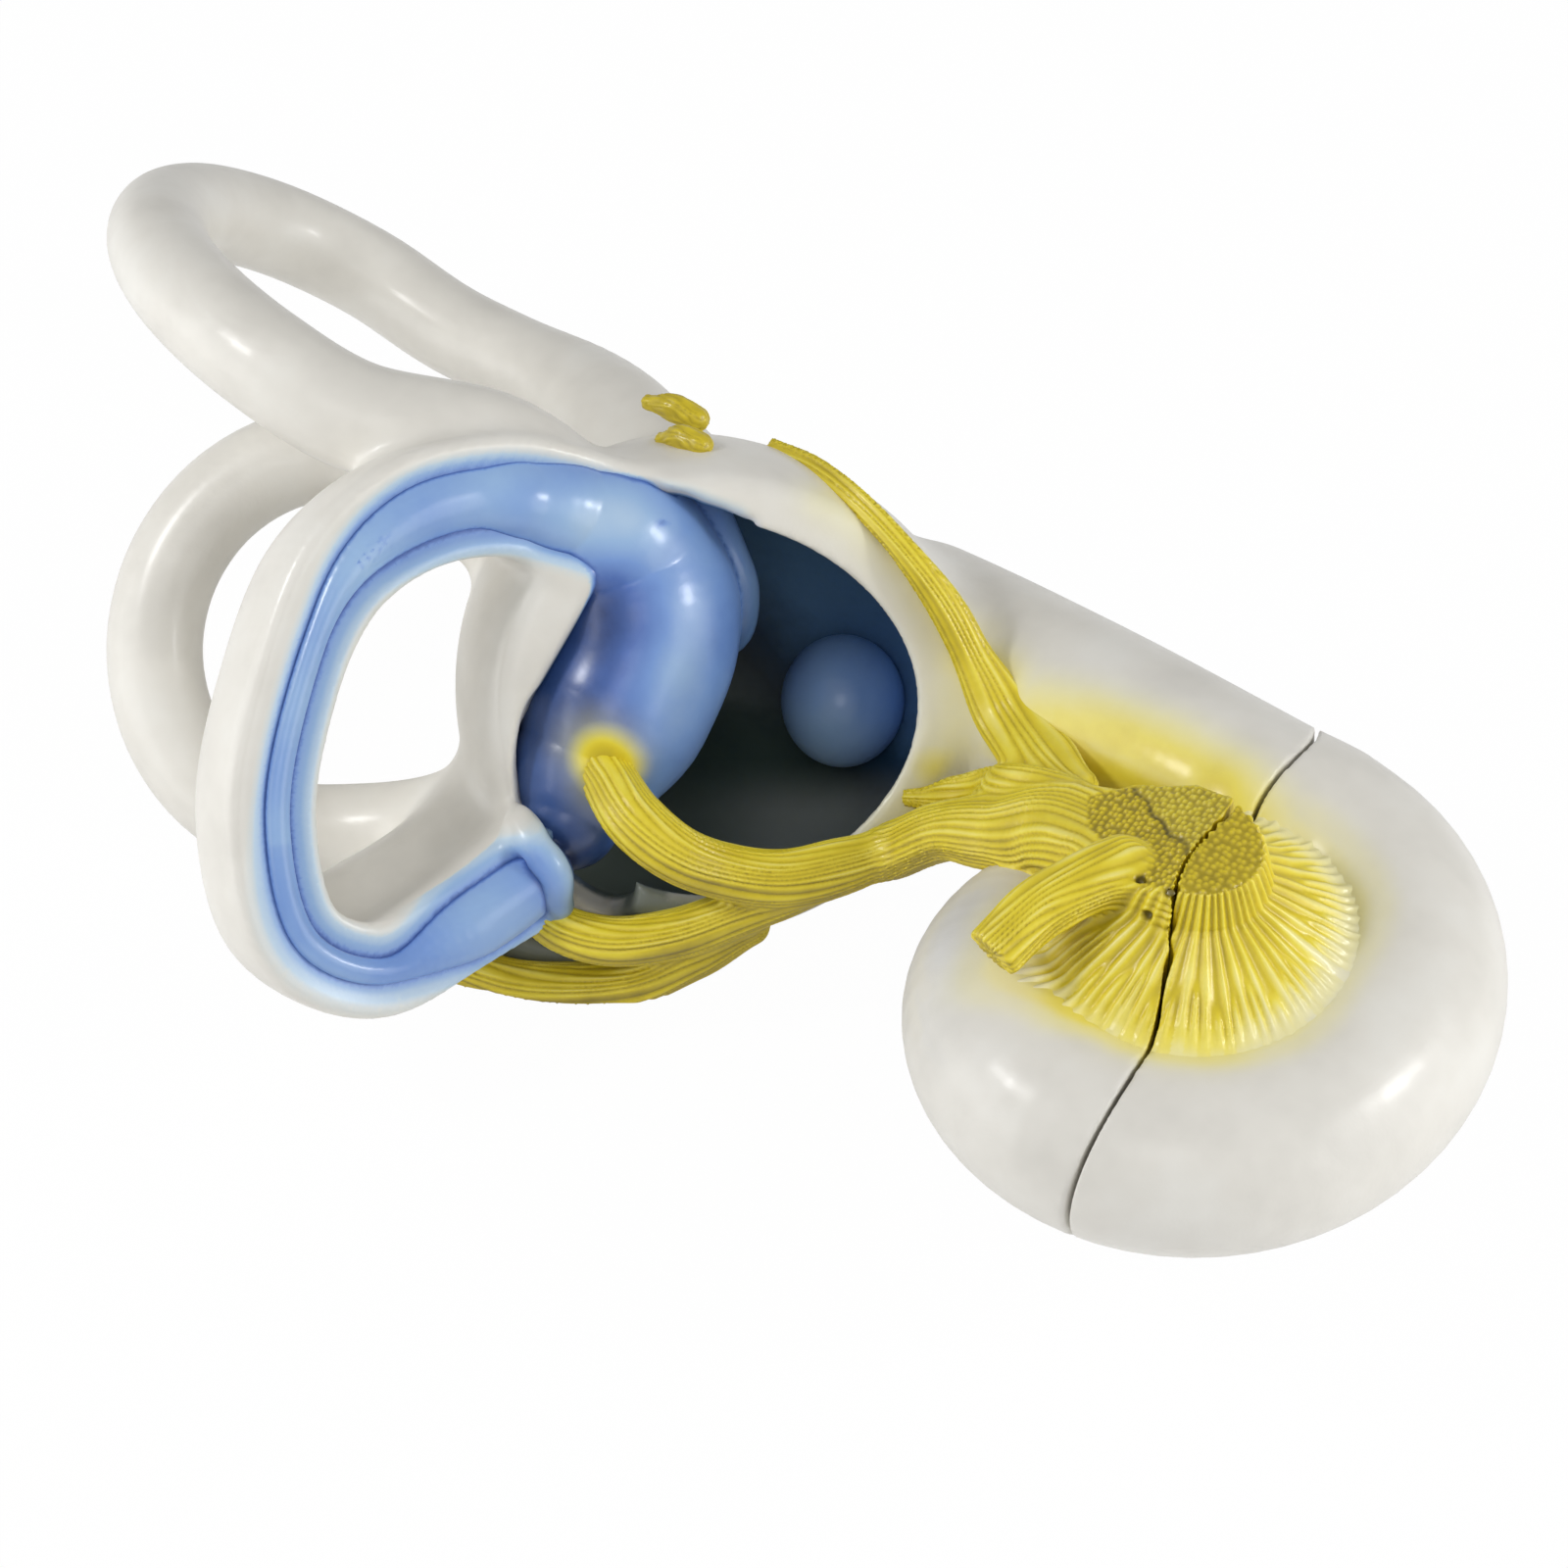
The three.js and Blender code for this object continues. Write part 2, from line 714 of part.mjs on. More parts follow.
const utricularNerve = (grow) =>
  sweepSolid(
    smoothCurve([
      besideVestibule(-0.41, -0.354, 0.476),
      besideVestibule(-0.298, -0.528, 0.619),
      besideVestibule(-0.144, -0.661, 0.643),
      besideVestibule(0.027, -0.73, 0.571),
      besideVestibule(0.246, -0.759, 0.512),
      besideVestibule(0.494, -0.707, 0.476),
      besideVestibule(0.715, -0.628, 0.476),
    ]),
    keyed([[0, 5], [0.2, 5.5], [0.45, 5], [0.75, 5.2], [1, 3.8]]),
    { steps: 16, sides: 12, grow },
  );

const posteriorAmpullaryNerve = (grow) =>
  sweepSolid(
    smoothCurve([
      underSection(-0.046, -0.486, 7.4),
      underSection(0.039, -0.531, 3.4),
      besideVestibule(-0.398, -1.007, 0.405),
      besideVestibule(-0.148, -0.978, 0.405),
      besideVestibule(0.079, -0.893, 0.417),
      besideVestibule(0.31, -0.802, 0.429),
      besideVestibule(0.506, -0.713, 0.476),
    ]),
    keyed([[0, 4], [0.25, 4.6], [0.75, 4.3], [1, 2.6]]),
    { steps: 14, sides: 12, grow },
  );

const inferiorStrand = (grow) =>
  sweepSolid(
    smoothCurve([
      besideVestibule(-0.981, -1.107, 0.143),
      besideVestibule(-0.792, -1.174, 0.143),
      besideVestibule(-0.581, -1.196, 0.179),
      besideVestibule(-0.321, -1.172, 0.19),
      besideVestibule(-0.092, -1.065, 0.262),
      besideVestibule(0.127, -0.948, 0.31),
    ]),
    keyed([[0, 4], [0.3, 4.6], [0.8, 4.6], [1, 3.6]]),
    { steps: 14, sides: 12, grow },
  );

const superiorNerve = (grow) =>
  sweepSolid(
    smoothCurve([
      besideVestibule(0.208, 0.943, 0.095),
      besideVestibule(0.375, 0.854, 0.286),
      besideVestibule(0.535, 0.711, 0.452),
      besideVestibule(0.713, 0.504, 0.548),
      besideVestibule(0.862, 0.296, 0.524),
      besideVestibule(0.981, 0.067, 0.476),
      besideVestibule(1.085, -0.109, 0.476),
      besideCochlea(-48.4, 26.7, 50.2),
      besideCochlea(-34.9, 17.3, 58.2),
    ]),
    keyed([[0, 2], [0.3, 2.4], [0.55, 3.2], [0.75, 4.9], [0.85, 4.8], [1, 3.2]]),
    { steps: 18, sides: 10, grow, flatness: 0.7 },
  );

const cutNormal = vec(-0.5, 0, 1);
const cutPoint = besideCochlea(-3.1, 3.2, NERVE_TOP);
const divideNormal = vec(0.59, 0.81, 0);
const dividePoint = besideCochlea(-14.1, 8.2, 0);
const trunk = (grow) => {
  const bundle = sweepSolid(
    smoothCurve([
      besideVestibule(0.667, -0.652, 0.452),
      besideCochlea(-56.2, 8.5, 42),
      besideCochlea(-45, 9, 48.5),
      besideCochlea(-34.4, 9.7, 55),
      besideCochlea(-23, 6.7, 62.5),
      besideCochlea(-11.1, -3.8, 70),
      besideCochlea(-2.1, -7.8, 72),
    ]),
    keyed([[0, 5.4], [0.17, 5.6], [0.33, 7], [0.5, 9], [0.66, 10.5], [0.85, 12], [1, 11]]),
    { steps: 16, sides: 16, grow, top: AXIS, flatness: 0.9 },
  );
  const cut = trimmed(bundle, cutPoint, cutNormal, grow);
  return trimmed(cut, dividePoint, divideNormal, grow);
};

const stump = (grow) =>
  sweepSolid(
    smoothCurve([
      besideCochlea(-13.2, -3.7, 74),
      besideCochlea(-17.7, -12, 74),
      besideCochlea(-21.3, -19.3, 72.5),
      besideCochlea(-23.8, -29.2, 69.5),
    ]),
    keyed([[0, 5.8], [1, 4.8]]),
    { steps: 10, sides: 16, grow, flatness: 0.72, top: AXIS },
  );

// The cochlear nerve: a column that spreads like a trumpet over the basal turn
function cochlearNerve(grow) {
  const levels = [
    [36, 14, 14, cochleaX - 2, cochleaY, 0],
    [56, 17, 16, cochleaX - 2, cochleaY + 1, 0],
    [60, FAN_RADIUS + 1, FAN_RADIUS + 1, cochleaX, cochleaY, 0.03],
    [62.5, FAN_RADIUS, FAN_RADIUS, cochleaX, cochleaY, 0.035],
    [64.8, 23.5, 23.5, cochleaX - 0.6, cochleaY, 0.03],
    [68, 20, 19, cochleaX - 2.4, cochleaY + 0.6, 0.02],
    [73, 16, 14, cochleaX - 4.6, cochleaY + 2.2, 0.01],
    [NERVE_TOP + 4, 14, 11.5, cochleaX - 6.2, cochleaY + 3.4, 0],
  ];
  const sides = FAN_RIDGES * 2;
  const rings = levels.map(([z, halfX, halfY, x, y, relief]) => {
    const ring = [];
    for (let j = 0; j < sides; j++) {
      const angle = (2 * Math.PI * j) / sides;
      const ridge = 1 + relief * Math.cos(FAN_RIDGES * angle);
      ring.push(
        vec(
          x + (halfX + grow) * ridge * Math.cos(angle),
          y + (halfY + grow) * ridge * Math.sin(angle),
          z,
        ),
      );
    }
    return ring;
  });
  return loftSolid(rings);
}

const saccularNerve = (grow) =>
  sweepSolid(
    smoothCurve([
      besideVestibule(0.865, -0.38, 0.5),
      besideVestibule(0.956, -0.402, 0.6),
      besideCochlea(-49.2, 16.5, 49),
      besideCochlea(-40.6, 14.8, 55),
      besideCochlea(-32.5, 13.3, 60.5),
    ]),
    keyed([[0, 4], [0.5, 4.4], [1, 3.4]]),
    { steps: 12, sides: 12, grow, flatness: 0.7 },
  );

const superiorAmpullaNerve = (grow) =>
  sweepSolid(
    smoothCurve([
      besideVestibule(-0.263, 1.135, -0.048),
      besideVestibule(-0.167, 1.111, 0),
      besideVestibule(-0.077, 1.063, 0.024),
    ]),
    keyed([[0, 1.4], [0.6, 2.6], [1, 2.3]]),
    { steps: 5, sides: 10, grow },
  );
const lateralAmpullaNerve = (grow) =>
  sweepSolid(
    smoothCurve([
      besideVestibule(-0.204, 0.965, 0.28),
      besideVestibule(-0.131, 0.965, 0.345),
      besideVestibule(-0.06, 0.935, 0.39),
    ]),
    keyed([[0, 1.3], [0.6, 2.6], [1, 2.4]]),
    { steps: 5, sides: 10, grow },
  );

// A short cylinder about a direction
function discSolid(centre, direction, radius, thickness) {
  const disc = new THREE.CylinderGeometry(radius, radius, thickness, 20);
  const turn = new THREE.Quaternion().setFromUnitVectors(vec(0, 1, 0), direction.clone().normalize());
  disc.applyQuaternion(turn).translate(centre.x, centre.y, centre.z);
  return toSolid(disc);
}

// Pins that hold the two cochlea halves in line

const pinPlaces = [
  ["front", cochleaY - PIN_SPREAD],
  ["rear", cochleaY + PIN_SPREAD],
];
const splitXAt = (y) =>
  splitLine.reduce((best, p) => (Math.abs(p.y - y) < Math.abs(best.y - y) ? p : best)).x;

const rodAlongX = (fromX, toX, y, radius) =>
  discSolid(vec((fromX + toX) / 2, y, PIN_HEIGHT), vec(1, 0, 0), radius, toX - fromX);

const pin = (y, grow) => {
  const middle = splitXAt(y);
  return rodAlongX(middle - PIN_LENGTH / 2 - grow, middle + PIN_LENGTH / 2 + grow, y, PIN_RADIUS + grow);
};
const socket = (y, grow) => {
  const middle = splitXAt(y);
  return rodAlongX(middle - 4, middle + SOCKET_LENGTH + grow, y, SOCKET_RADIUS + grow).intersect(
    capSide,
  );
};
const pinBore = (y) => {
  const middle = splitXAt(y);
  return rodAlongX(middle - PIN_LENGTH, middle + PIN_LENGTH, y, PIN_RADIUS + PIN_CLEARANCE);
};

// Nodes

const paint = (color, roughness) =>
  new THREE.MeshStandardMaterial({ color, roughness, metalness: 0 });
const bone = () => paint(0xe6e2d8, 0.4);
const membrane = () => paint(0x5a86cc, 0.3);
const nerve = () => paint(0xdcc81e, 0.45);

const model = new THREE.Group();

function addNode(name, solid, material) {
  const [baseX, baseY] = BASE_CENTRE;
  const placed = solid.simplify(SMALLEST_DETAIL).translate(-baseX, -baseY, 0);
  const mesh = new THREE.Mesh(toGeometry(placed), material);
  mesh.name = name;
  model.add(mesh);
}

// The opened shell and the opened canal, as forms that can be enlarged
const shellForm = (grow) =>
  aboveTable(
    trimmed(vestibuleEgg(grow).subtract(cavity(grow)), rimPoint, rimNormal, grow),
  ).subtract(posteriorGroove(grow));
const posteriorForm = (grow) => posteriorBack(grow).subtract(posteriorGroove(grow));

addNode("vestibule_shell", largest(shellForm(0)), bone());
addNode("posterior_canal", seated(aboveTable(posteriorForm(0)), vestibuleEgg), bone());
addNode(
  "superior_canal",
  seated(aboveTable(superiorTube(0)), vestibuleEgg, posteriorBody, utricle),
  bone(),
);
addNode(
  "lateral_canal",
  seated(aboveTable(lateralTube(0)), vestibuleEgg, posteriorBack, superiorTube),
  bone(),
);

const insideCavity = (solid) => solid.intersect(cavity(SEAT_GAP));

addNode("utricle", seated(utricle(0), shellForm, posteriorForm), membrane());
addNode("saccule", largest(insideCavity(saccule(0))), membrane());
addNode("superior_duct", seated(insideCavity(superiorDuct(0)), utricle), membrane());
addNode("posterior_duct", seated(posteriorDuct(0), utricle, shellForm, posteriorForm), membrane());

const hollowCochlea = cochleaForm(0).subtract(cochleaLumen(0));
const fixedHalf = pinPlaces.reduce(
  (rest, [, y]) => rest.subtract(pin(y, SEAT_GAP)),
  hollowCochlea.intersect(fixedSide),
);
const capHalf = pinPlaces.reduce(
  (rest, [, y]) => rest.subtract(socket(y, SEAT_GAP)),
  hollowCochlea.intersect(capSide),
);
addNode("cochlea_base_half", seated(fixedHalf, vestibuleEgg), bone());
addNode("cochlea_cap_half", largest(capHalf), bone());

addNode(
  "nerve_trunk",
  seated(trunk(0).intersect(fixedSide), vestibuleEgg, cochleaForm),
  nerve(),
);
addNode("nerve_stump", seated(stump(0).intersect(fixedSide), trunk, cochleaForm), nerve());
const cochlearColumn = seated(cochlearNerve(0), cochleaForm);
addNode(
  "cochlear_nerve_fixed",
  seated(
    trimmed(cochlearColumn, cutPoint, cutNormal).intersect(fixedSide),
    trunk,
    stump,
  ),
  nerve(),
);
addNode(
  "cochlear_nerve_cap",
  largest(trimmed(cochlearColumn, cutPoint, AXIS).intersect(capSide)),
  nerve(),
);
addNode("utricular_nerve", seated(utricularNerve(0), utricle, shellForm, trunk), nerve());
addNode(
  "posterior_ampullary_nerve",
  seated(
    posteriorAmpullaryNerve(0),
    vestibuleEgg,
    posteriorBack,
    posteriorDuct,
    utricularNerve,
    trunk,
  ),
  nerve(),
);
addNode(
  "inferior_nerve_strand",
  seated(
    inferiorStrand(0),
    vestibuleEgg,
    posteriorBack,
    posteriorAmpullaryNerve,
    utricularNerve,
    trunk,
  ),
  nerve(),
);
addNode(
  "saccular_nerve",
  seated(saccularNerve(0), vestibuleEgg, cochleaForm, trunk, utricularNerve),
  nerve(),
);
addNode(
  "superior_vestibular_nerve",
  seated(superiorNerve(0), vestibuleEgg, cochleaForm, trunk, saccularNerve),
  nerve(),
);
addNode(
  "superior_ampulla_nerve",
  seated(superiorAmpullaNerve(0), vestibuleEgg, superiorTube),
  nerve(),
);
addNode(
  "lateral_ampulla_nerve",
  seated(lateralAmpullaNerve(0), vestibuleEgg, superiorTube),
  nerve(),
);

const spiralShelves = [
  ["basal_duct_fixed", 185, 358, fixedSide],
  ["middle_duct_fixed", 545, 690, fixedSide],
  ["basal_duct_cap", -4, 190, capSide],
  ["middle_duct_cap", 350, 550, capSide],
];
for (const [name, from, to, side] of spiralShelves) {
  const shelf = partition(from, to).intersect(cochleaLumen(-SEAT_GAP)).intersect(side);
  addNode(name, largest(shelf), membrane());
}

for (const [place, y] of pinPlaces) {
  addNode(`dowel_pin_${place}`, pin(y, 0), paint(0xb8bcc0, 0.3));
  addNode(
    `dowel_socket_${place}`,
    socket(y, 0).subtract(pinBore(y)),
    paint(0xb08d3e, 0.35),
  );
}

export default model;
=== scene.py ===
"""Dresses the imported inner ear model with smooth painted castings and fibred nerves.

Sizes are in millimetres in the frame of the CAD source, and each mesh is scaled to metres.
The pieces are cut from signed distance fields, so that they run into each other as in a cast.
"""

import math

import bmesh
import bpy
import numpy as np
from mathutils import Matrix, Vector


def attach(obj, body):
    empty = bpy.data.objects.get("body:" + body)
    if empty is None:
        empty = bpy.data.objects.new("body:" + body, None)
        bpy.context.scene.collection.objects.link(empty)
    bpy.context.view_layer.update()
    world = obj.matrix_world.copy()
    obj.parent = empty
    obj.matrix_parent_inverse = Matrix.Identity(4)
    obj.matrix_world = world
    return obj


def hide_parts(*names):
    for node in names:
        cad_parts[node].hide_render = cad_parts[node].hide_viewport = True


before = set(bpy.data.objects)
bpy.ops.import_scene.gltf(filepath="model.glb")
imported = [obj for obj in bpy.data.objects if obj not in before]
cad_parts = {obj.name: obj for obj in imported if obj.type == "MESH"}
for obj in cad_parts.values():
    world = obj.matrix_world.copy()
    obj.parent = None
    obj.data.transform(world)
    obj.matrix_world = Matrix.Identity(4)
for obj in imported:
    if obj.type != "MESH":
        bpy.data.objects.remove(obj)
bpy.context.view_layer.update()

MM = 0.001
REACH = 9.0  # how far from a surface the fields are exact

# Sizes repeated from the CAD source

VESTIBULE_HALF = (48.0, 46.0, 42.0)
VESTIBULE_TAPER = 0.12
VESTIBULE_WALL = 5.0
VESTIBULE_FLOOR = 4.0
VIEW_TURN = 33.8
VIEW_TILT = 50.0
FRONT_ORIGIN = np.array([4.66, 7.56, 37.0])
RIM_OFFSET = 21.0
RIM_FACING = (7.5, -8.0)
SECTION_FACING = (27.6, -5.8)
POSTERIOR_REACH = 54.0
POSTERIOR_HEIGHT = 84.0
POSTERIOR_FACE_WIDTH = 15.5
POSTERIOR_ROOT_WIDTH = 21.0
POSTERIOR_DEPTH = 21.0
POSTERIOR_LEAN = 44.0
COCHLEA_CENTRE = (111.46, -13.54)
COCHLEA_HALF_WIDTH = 35.5
COCHLEA_HALF_LENGTH = 38.5
COCHLEA_HEIGHT = 48.0
BASAL_RADIUS = 17.5
BASAL_START_RADIUS = 20.5
COCHLEA_WALL = 5.5
SPLIT_GAP = 0.8
NERVE_TOP = 80.0


# Directions


def unit(vector):
    vector = np.asarray(vector, float)
    return vector / np.linalg.norm(vector)


turn = math.radians(VIEW_TURN)
tilt = math.radians(VIEW_TILT)
OUT = np.array(
    [math.sin(turn) * math.cos(tilt), -math.cos(turn) * math.cos(tilt), math.sin(tilt)]
)
RIGHT = np.array([math.cos(turn), math.sin(turn), 0.0])
UP = np.cross(OUT, RIGHT)
AXIS = np.array([0.0, 0.0, 1.0])


def front(right, up, out):
    return FRONT_ORIGIN + right * RIGHT + up * UP + out * OUT


def fronts(*places):
    return [front(*place) for place in places]


def facing(yaw, pitch):
    yaw, pitch = math.radians(yaw), math.radians(pitch)
    return (
        math.sin(yaw) * math.cos(pitch) * RIGHT
        + math.sin(pitch) * UP
        + math.cos(yaw) * math.cos(pitch) * OUT
    )


def front_direction(right, up, out):
    return unit(front(right, up, out) - FRONT_ORIGIN)


# Curves


def smoothstep(t):
    t = np.clip(t, 0, 1)
    return t * t * (3 - 2 * t)


def keyed(keys):
    """A value read smoothly from a few (position, value) keys."""
    places, amounts = np.array(keys, float).T

    def read(u):
        u = np.clip(u, places[0], places[-1])
        i = np.clip(np.searchsorted(places, u, side="right") - 1, 0, len(keys) - 2)
        t = smoothstep((u - places[i]) / (places[i + 1] - places[i]))
        return amounts[i] + (amounts[i + 1] - amounts[i]) * t

    return read


def even_points(points, steps):
    """Points at even distances along a chain of points."""
    points = np.asarray(points, float)
    lengths = np.linalg.norm(np.diff(points, axis=0), axis=1)
    run = np.concatenate([[0], np.cumsum(lengths)])
    wanted = np.linspace(0, run[-1], steps + 1)
    return np.column_stack([np.interp(wanted, run, points[:, k]) for k in range(3)])


def smooth_curve(points, steps):
    """A centripetal spline through the points, as even points."""
    points = np.asarray(points, float)
    ends = [2 * points[0] - points[1], *points, 2 * points[-1] - points[-2]]
    dense = []
    for i in range(1, len(ends) - 2):
        p0, p1, p2, p3 = ends[i - 1 : i + 3]
        gaps = [max(np.linalg.norm(b - a) ** 0.5, 1e-6) for a, b in ((p0, p1), (p1, p2), (p2, p3))]
        g0, g1, g2 = gaps
        t1 = ((p1 - p0) / g0 - (p2 - p0) / (g0 + g1) + (p2 - p1) / g1) * g1
        t2 = ((p2 - p1) / g1 - (p3 - p1) / (g1 + g2) + (p3 - p2) / g2) * g1
        c2 = -3 * p1 + 3 * p2 - 2 * t1 - t2
        c3 = 2 * p1 - 2 * p2 + t1 + t2
        for w in np.linspace(0, 1, 24, endpoint=False):
            dense.append(p1 + w * (t1 + w * (c2 + w * c3)))
    dense.append(points[-1])
    return even_points(dense, steps)


class Path:
    """A bar's middle line, with its half width and height at each point.

    The width is read along the path by a function, or from keys for one.
    """

    def __init__(self, points, width, flatness=1.0, top=OUT, steps=50, spline=True, rise=None):
        self.at = smooth_curve(points, steps) if spline else np.asarray(points, float)
        self.u = np.linspace(0, 1, len(self.at))
        read = width if callable(width) else keyed(width)
        self.width = np.asarray(read(self.u), float)
        self.height = self.width * flatness
        self.top = np.asarray(top, float)
        self.rise = rise

    def frame_at(self, i):
        a, b = self.at[i], self.at[i + 1]
        along = unit(b - a)
        side = unit(np.cross(along, self.top))
        rise = np.cross(side, along) if self.rise is None else self.rise
        return a, np.linalg.norm(b - a), np.linalg.inv(np.column_stack([along, side, rise]))

    def local(self, points):
        """For each point: share along the path, sideways and upward distance, width there."""
        best = np.full(len(points), 1e9)
        found = np.zeros((len(points), 5))
        for i in range(len(self.at) - 1):
            a, length, basis = self.frame_at(i)
            v = (points - a) @ basis.T
            t = np.clip(v[:, 0], 0, length)
            over = v[:, 0] - t
            gap = over**2 + v[:, 1] ** 2 + v[:, 2] ** 2
            near = gap < best
            share = t[near] / length
            best[near] = gap[near]
            u, w, h = (
                kept[i] + (kept[i + 1] - kept[i]) * share
                for kept in (self.u, self.width, self.height)
            )
            found[near] = np.column_stack([u, v[near, 1], v[near, 2], w, h])
        return found.T, np.sqrt(best)


# Distance fields


def oval(across, height, half_width, half_height):
    k0 = np.sqrt((across / half_width) ** 2 + (height / half_height) ** 2)
    k1 = np.sqrt((across / half_width**2) ** 2 + (height / half_height**2) ** 2)
    return k0 * (k0 - 1) / np.maximum(k1, 1e-4)


def trough(across, height, half_width, half_height):
    return oval(across, np.minimum(height, 0), half_width, half_height)


def join(a, b, blend):
    """Both forms, with a fillet between them."""
    h = np.maximum(blend - np.abs(a - b), 0) / blend
    return np.minimum(a, b) - h * h * blend / 4


def meet(a, b, blend):
    """What lies in both forms, with the edge rounded."""
    h = np.maximum(blend - np.abs(a - b), 0) / blend
    return np.maximum(a, b) + h * h * blend / 4


class Block:
    """A grid of points. Its fields hold signed distances, negative inside."""

    def __init__(self, low, high, step):
        self.low = np.floor(np.array(low, float) / step) * step
        self.step = step
        self.shape = tuple(int(math.ceil((h - l) / step)) + 1 for l, h in zip(self.low, high))
        self.axes = [
            (self.low[k] + step * np.arange(self.shape[k])).astype(np.float32) for k in range(3)
        ]

    def points(self, window=(slice(None),) * 3):
        x, y, z = (axis[part] for axis, part in zip(self.axes, window))
        return x[:, None, None], y[None, :, None], z[None, None, :]

    def window(self, low, high):
        first = np.maximum(np.floor((low - self.low) / self.step), 0).astype(int)
        last = np.minimum(np.ceil((high - self.low) / self.step) + 1, self.shape).astype(int)
        if np.any(last <= first):
            return None
        return tuple(slice(a, b) for a, b in zip(first, last))

    def plane(self, point, normal):
        x, y, z = self.points()
        n = unit(normal)
        value = (x - point[0]) * n[0] + (y - point[1]) * n[1] + (z - point[2]) * n[2]
        return value.astype(np.float32)

    def egg(self, centre, half, taper=0.0):
        x, y, z = self.points()
        x, y, z = x - centre[0], y - centre[1], z - centre[2]
        r, v, o = (x * axis[0] + y * axis[1] + z * axis[2] for axis in (RIGHT, UP, OUT))
        r = r / half[0]
        narrow = half[1] * (1 - taper * np.clip(r, -1.2, 1.2))
        v = v / narrow
        o = o / half[2]
        k0 = np.sqrt(r**2 + v**2 + o**2)
        k1 = np.sqrt((r / half[0]) ** 2 + (v / narrow) ** 2 + (o / half[2]) ** 2)
        return (k0 * (k0 - 1) / np.maximum(k1, 1e-4)).astype(np.float32)

    def sweep(self, path, section=oval, reach=REACH):
        field = np.full(self.shape, reach, np.float32)
        leaning = 1.8 if path.rise is not None else 1.0
        for i in range(len(path.at) - 1):
            a, length, basis = path.frame_at(i)
            b = path.at[i + 1]
            span = max(*path.width[i : i + 2], *path.height[i : i + 2]) * leaning + reach
            part = self.window(np.minimum(a, b) - span, np.maximum(a, b) + span)
            if part is None:
                continue
            x, y, z = self.points(part)
            x, y, z = x - np.float32(a[0]), y - np.float32(a[1]), z - np.float32(a[2])
            t, across, height = (
                x * np.float32(row[0]) + y * np.float32(row[1]) + z * np.float32(row[2])
                for row in basis
            )
            clamped = np.clip(t, 0, np.float32(length))
            over = t - clamped
            share = clamped / np.float32(length)
            w, h = (
                np.float32(size[i]) + np.float32(size[i + 1] - size[i]) * share
                for size in (path.width, path.height)
            )
            d = section(across, height, w, h)
            least = np.minimum(w, h)
            d = np.sqrt((d + least) ** 2 + over**2) - least
            np.minimum(field[part], d, out=field[part])
        return field

    def sample(self, field, points):
        place = (points - self.low) / self.step
        place = np.clip(place, 0, np.array(self.shape) - 1.001)
        base = place.astype(int)
        f = place - base
        total = np.zeros(len(points))
        for corner in np.ndindex(2, 2, 2):
            weight = np.prod(np.where(corner, f, 1 - f), axis=1)
            total += weight * field[tuple((base + corner).T)]
        return total

    def slope(self, field, points):
        e = 0.7 * self.step
        rises = [
            self.sample(field, points + shift) - self.sample(field, points - shift)
            for shift in e * np.eye(3)
        ]
        return np.column_stack(rises) / (2 * e)

    def settle(self, field, points, rounds=2):
        """Moves points onto the surface of a field."""
        for _ in range(rounds):
            g = self.slope(field, points)
            d = self.sample(field, points)
            move = -(d / np.maximum((g**2).sum(1), 0.2))[:, None] * g
            size = np.linalg.norm(move, axis=1, keepdims=True)
            limit = 0.5 * self.step
            points = points + move * np.minimum(1, limit / np.maximum(size, 1e-9))
        return points

    def skin(self, field):
        """The surface of a field as points and four-sided faces."""
        inside = field < 0
        a, b, c = self.shape
        total = np.zeros((a - 1, b - 1, c - 1), np.uint8)
        corners = list(np.ndindex(2, 2, 2))
        for i, j, k in corners:
            total += inside[i : a - 1 + i, j : b - 1 + j, k : c - 1 + k]
        cells = np.nonzero((total > 0) & (total < 8))
        number = np.full(total.shape, -1, np.int32)
        number[cells] = np.arange(len(cells[0]))
        sums = np.zeros((len(cells[0]), 3))
        count = np.zeros(len(cells[0]))
        at_corner = {c: field[tuple(np.add(cells, np.array([c]).T))] for c in corners}
        for first in corners:
            for k in range(3):
                if first[k]:
                    continue
                second = tuple(1 if m == k else first[m] for m in range(3))
                v0, v1 = at_corner[first], at_corner[second]
                crossed = (v0 < 0) != (v1 < 0)
                t = np.where(crossed, v0 / np.where(crossed, v0 - v1, 1), 0)
                place = np.tile(np.array(first, float), (len(t), 1))
                place[:, k] += t
                sums[crossed] += place[crossed]
                count[crossed] += 1
        points = self.low + self.step * (np.column_stack(cells) + sums / count[:, None])
        quads = []
        for k in range(3):
            p, q = (k + 1) % 3, (k + 2) % 3
            low = [slice(1, None)] * 3
            high = [slice(1, None)] * 3
            low[k] = slice(0, -1)
            changed = inside[tuple(low)] != inside[tuple(high)]
            at = np.column_stack(np.nonzero(changed))
            at[:, p] += 1
            at[:, q] += 1
            keep = np.all(at < np.array(total.shape), axis=1)
            at = at[keep]
            solid_first = inside[at[:, 0], at[:, 1], at[:, 2]]
            ring = []
            for dp, dq in ((-1, -1), (0, -1), (0, 0), (-1, 0)):
                cell = at.copy()
                cell[:, p] += dp
                cell[:, q] += dq
                ring.append(number[cell[:, 0], cell[:, 1], cell[:, 2]])
            ring = np.column_stack(ring)
            ring[~solid_first] = ring[~solid_first][:, ::-1]
            quads.append(ring)
        return self.settle(field, points), np.concatenate(quads).astype(np.int64)


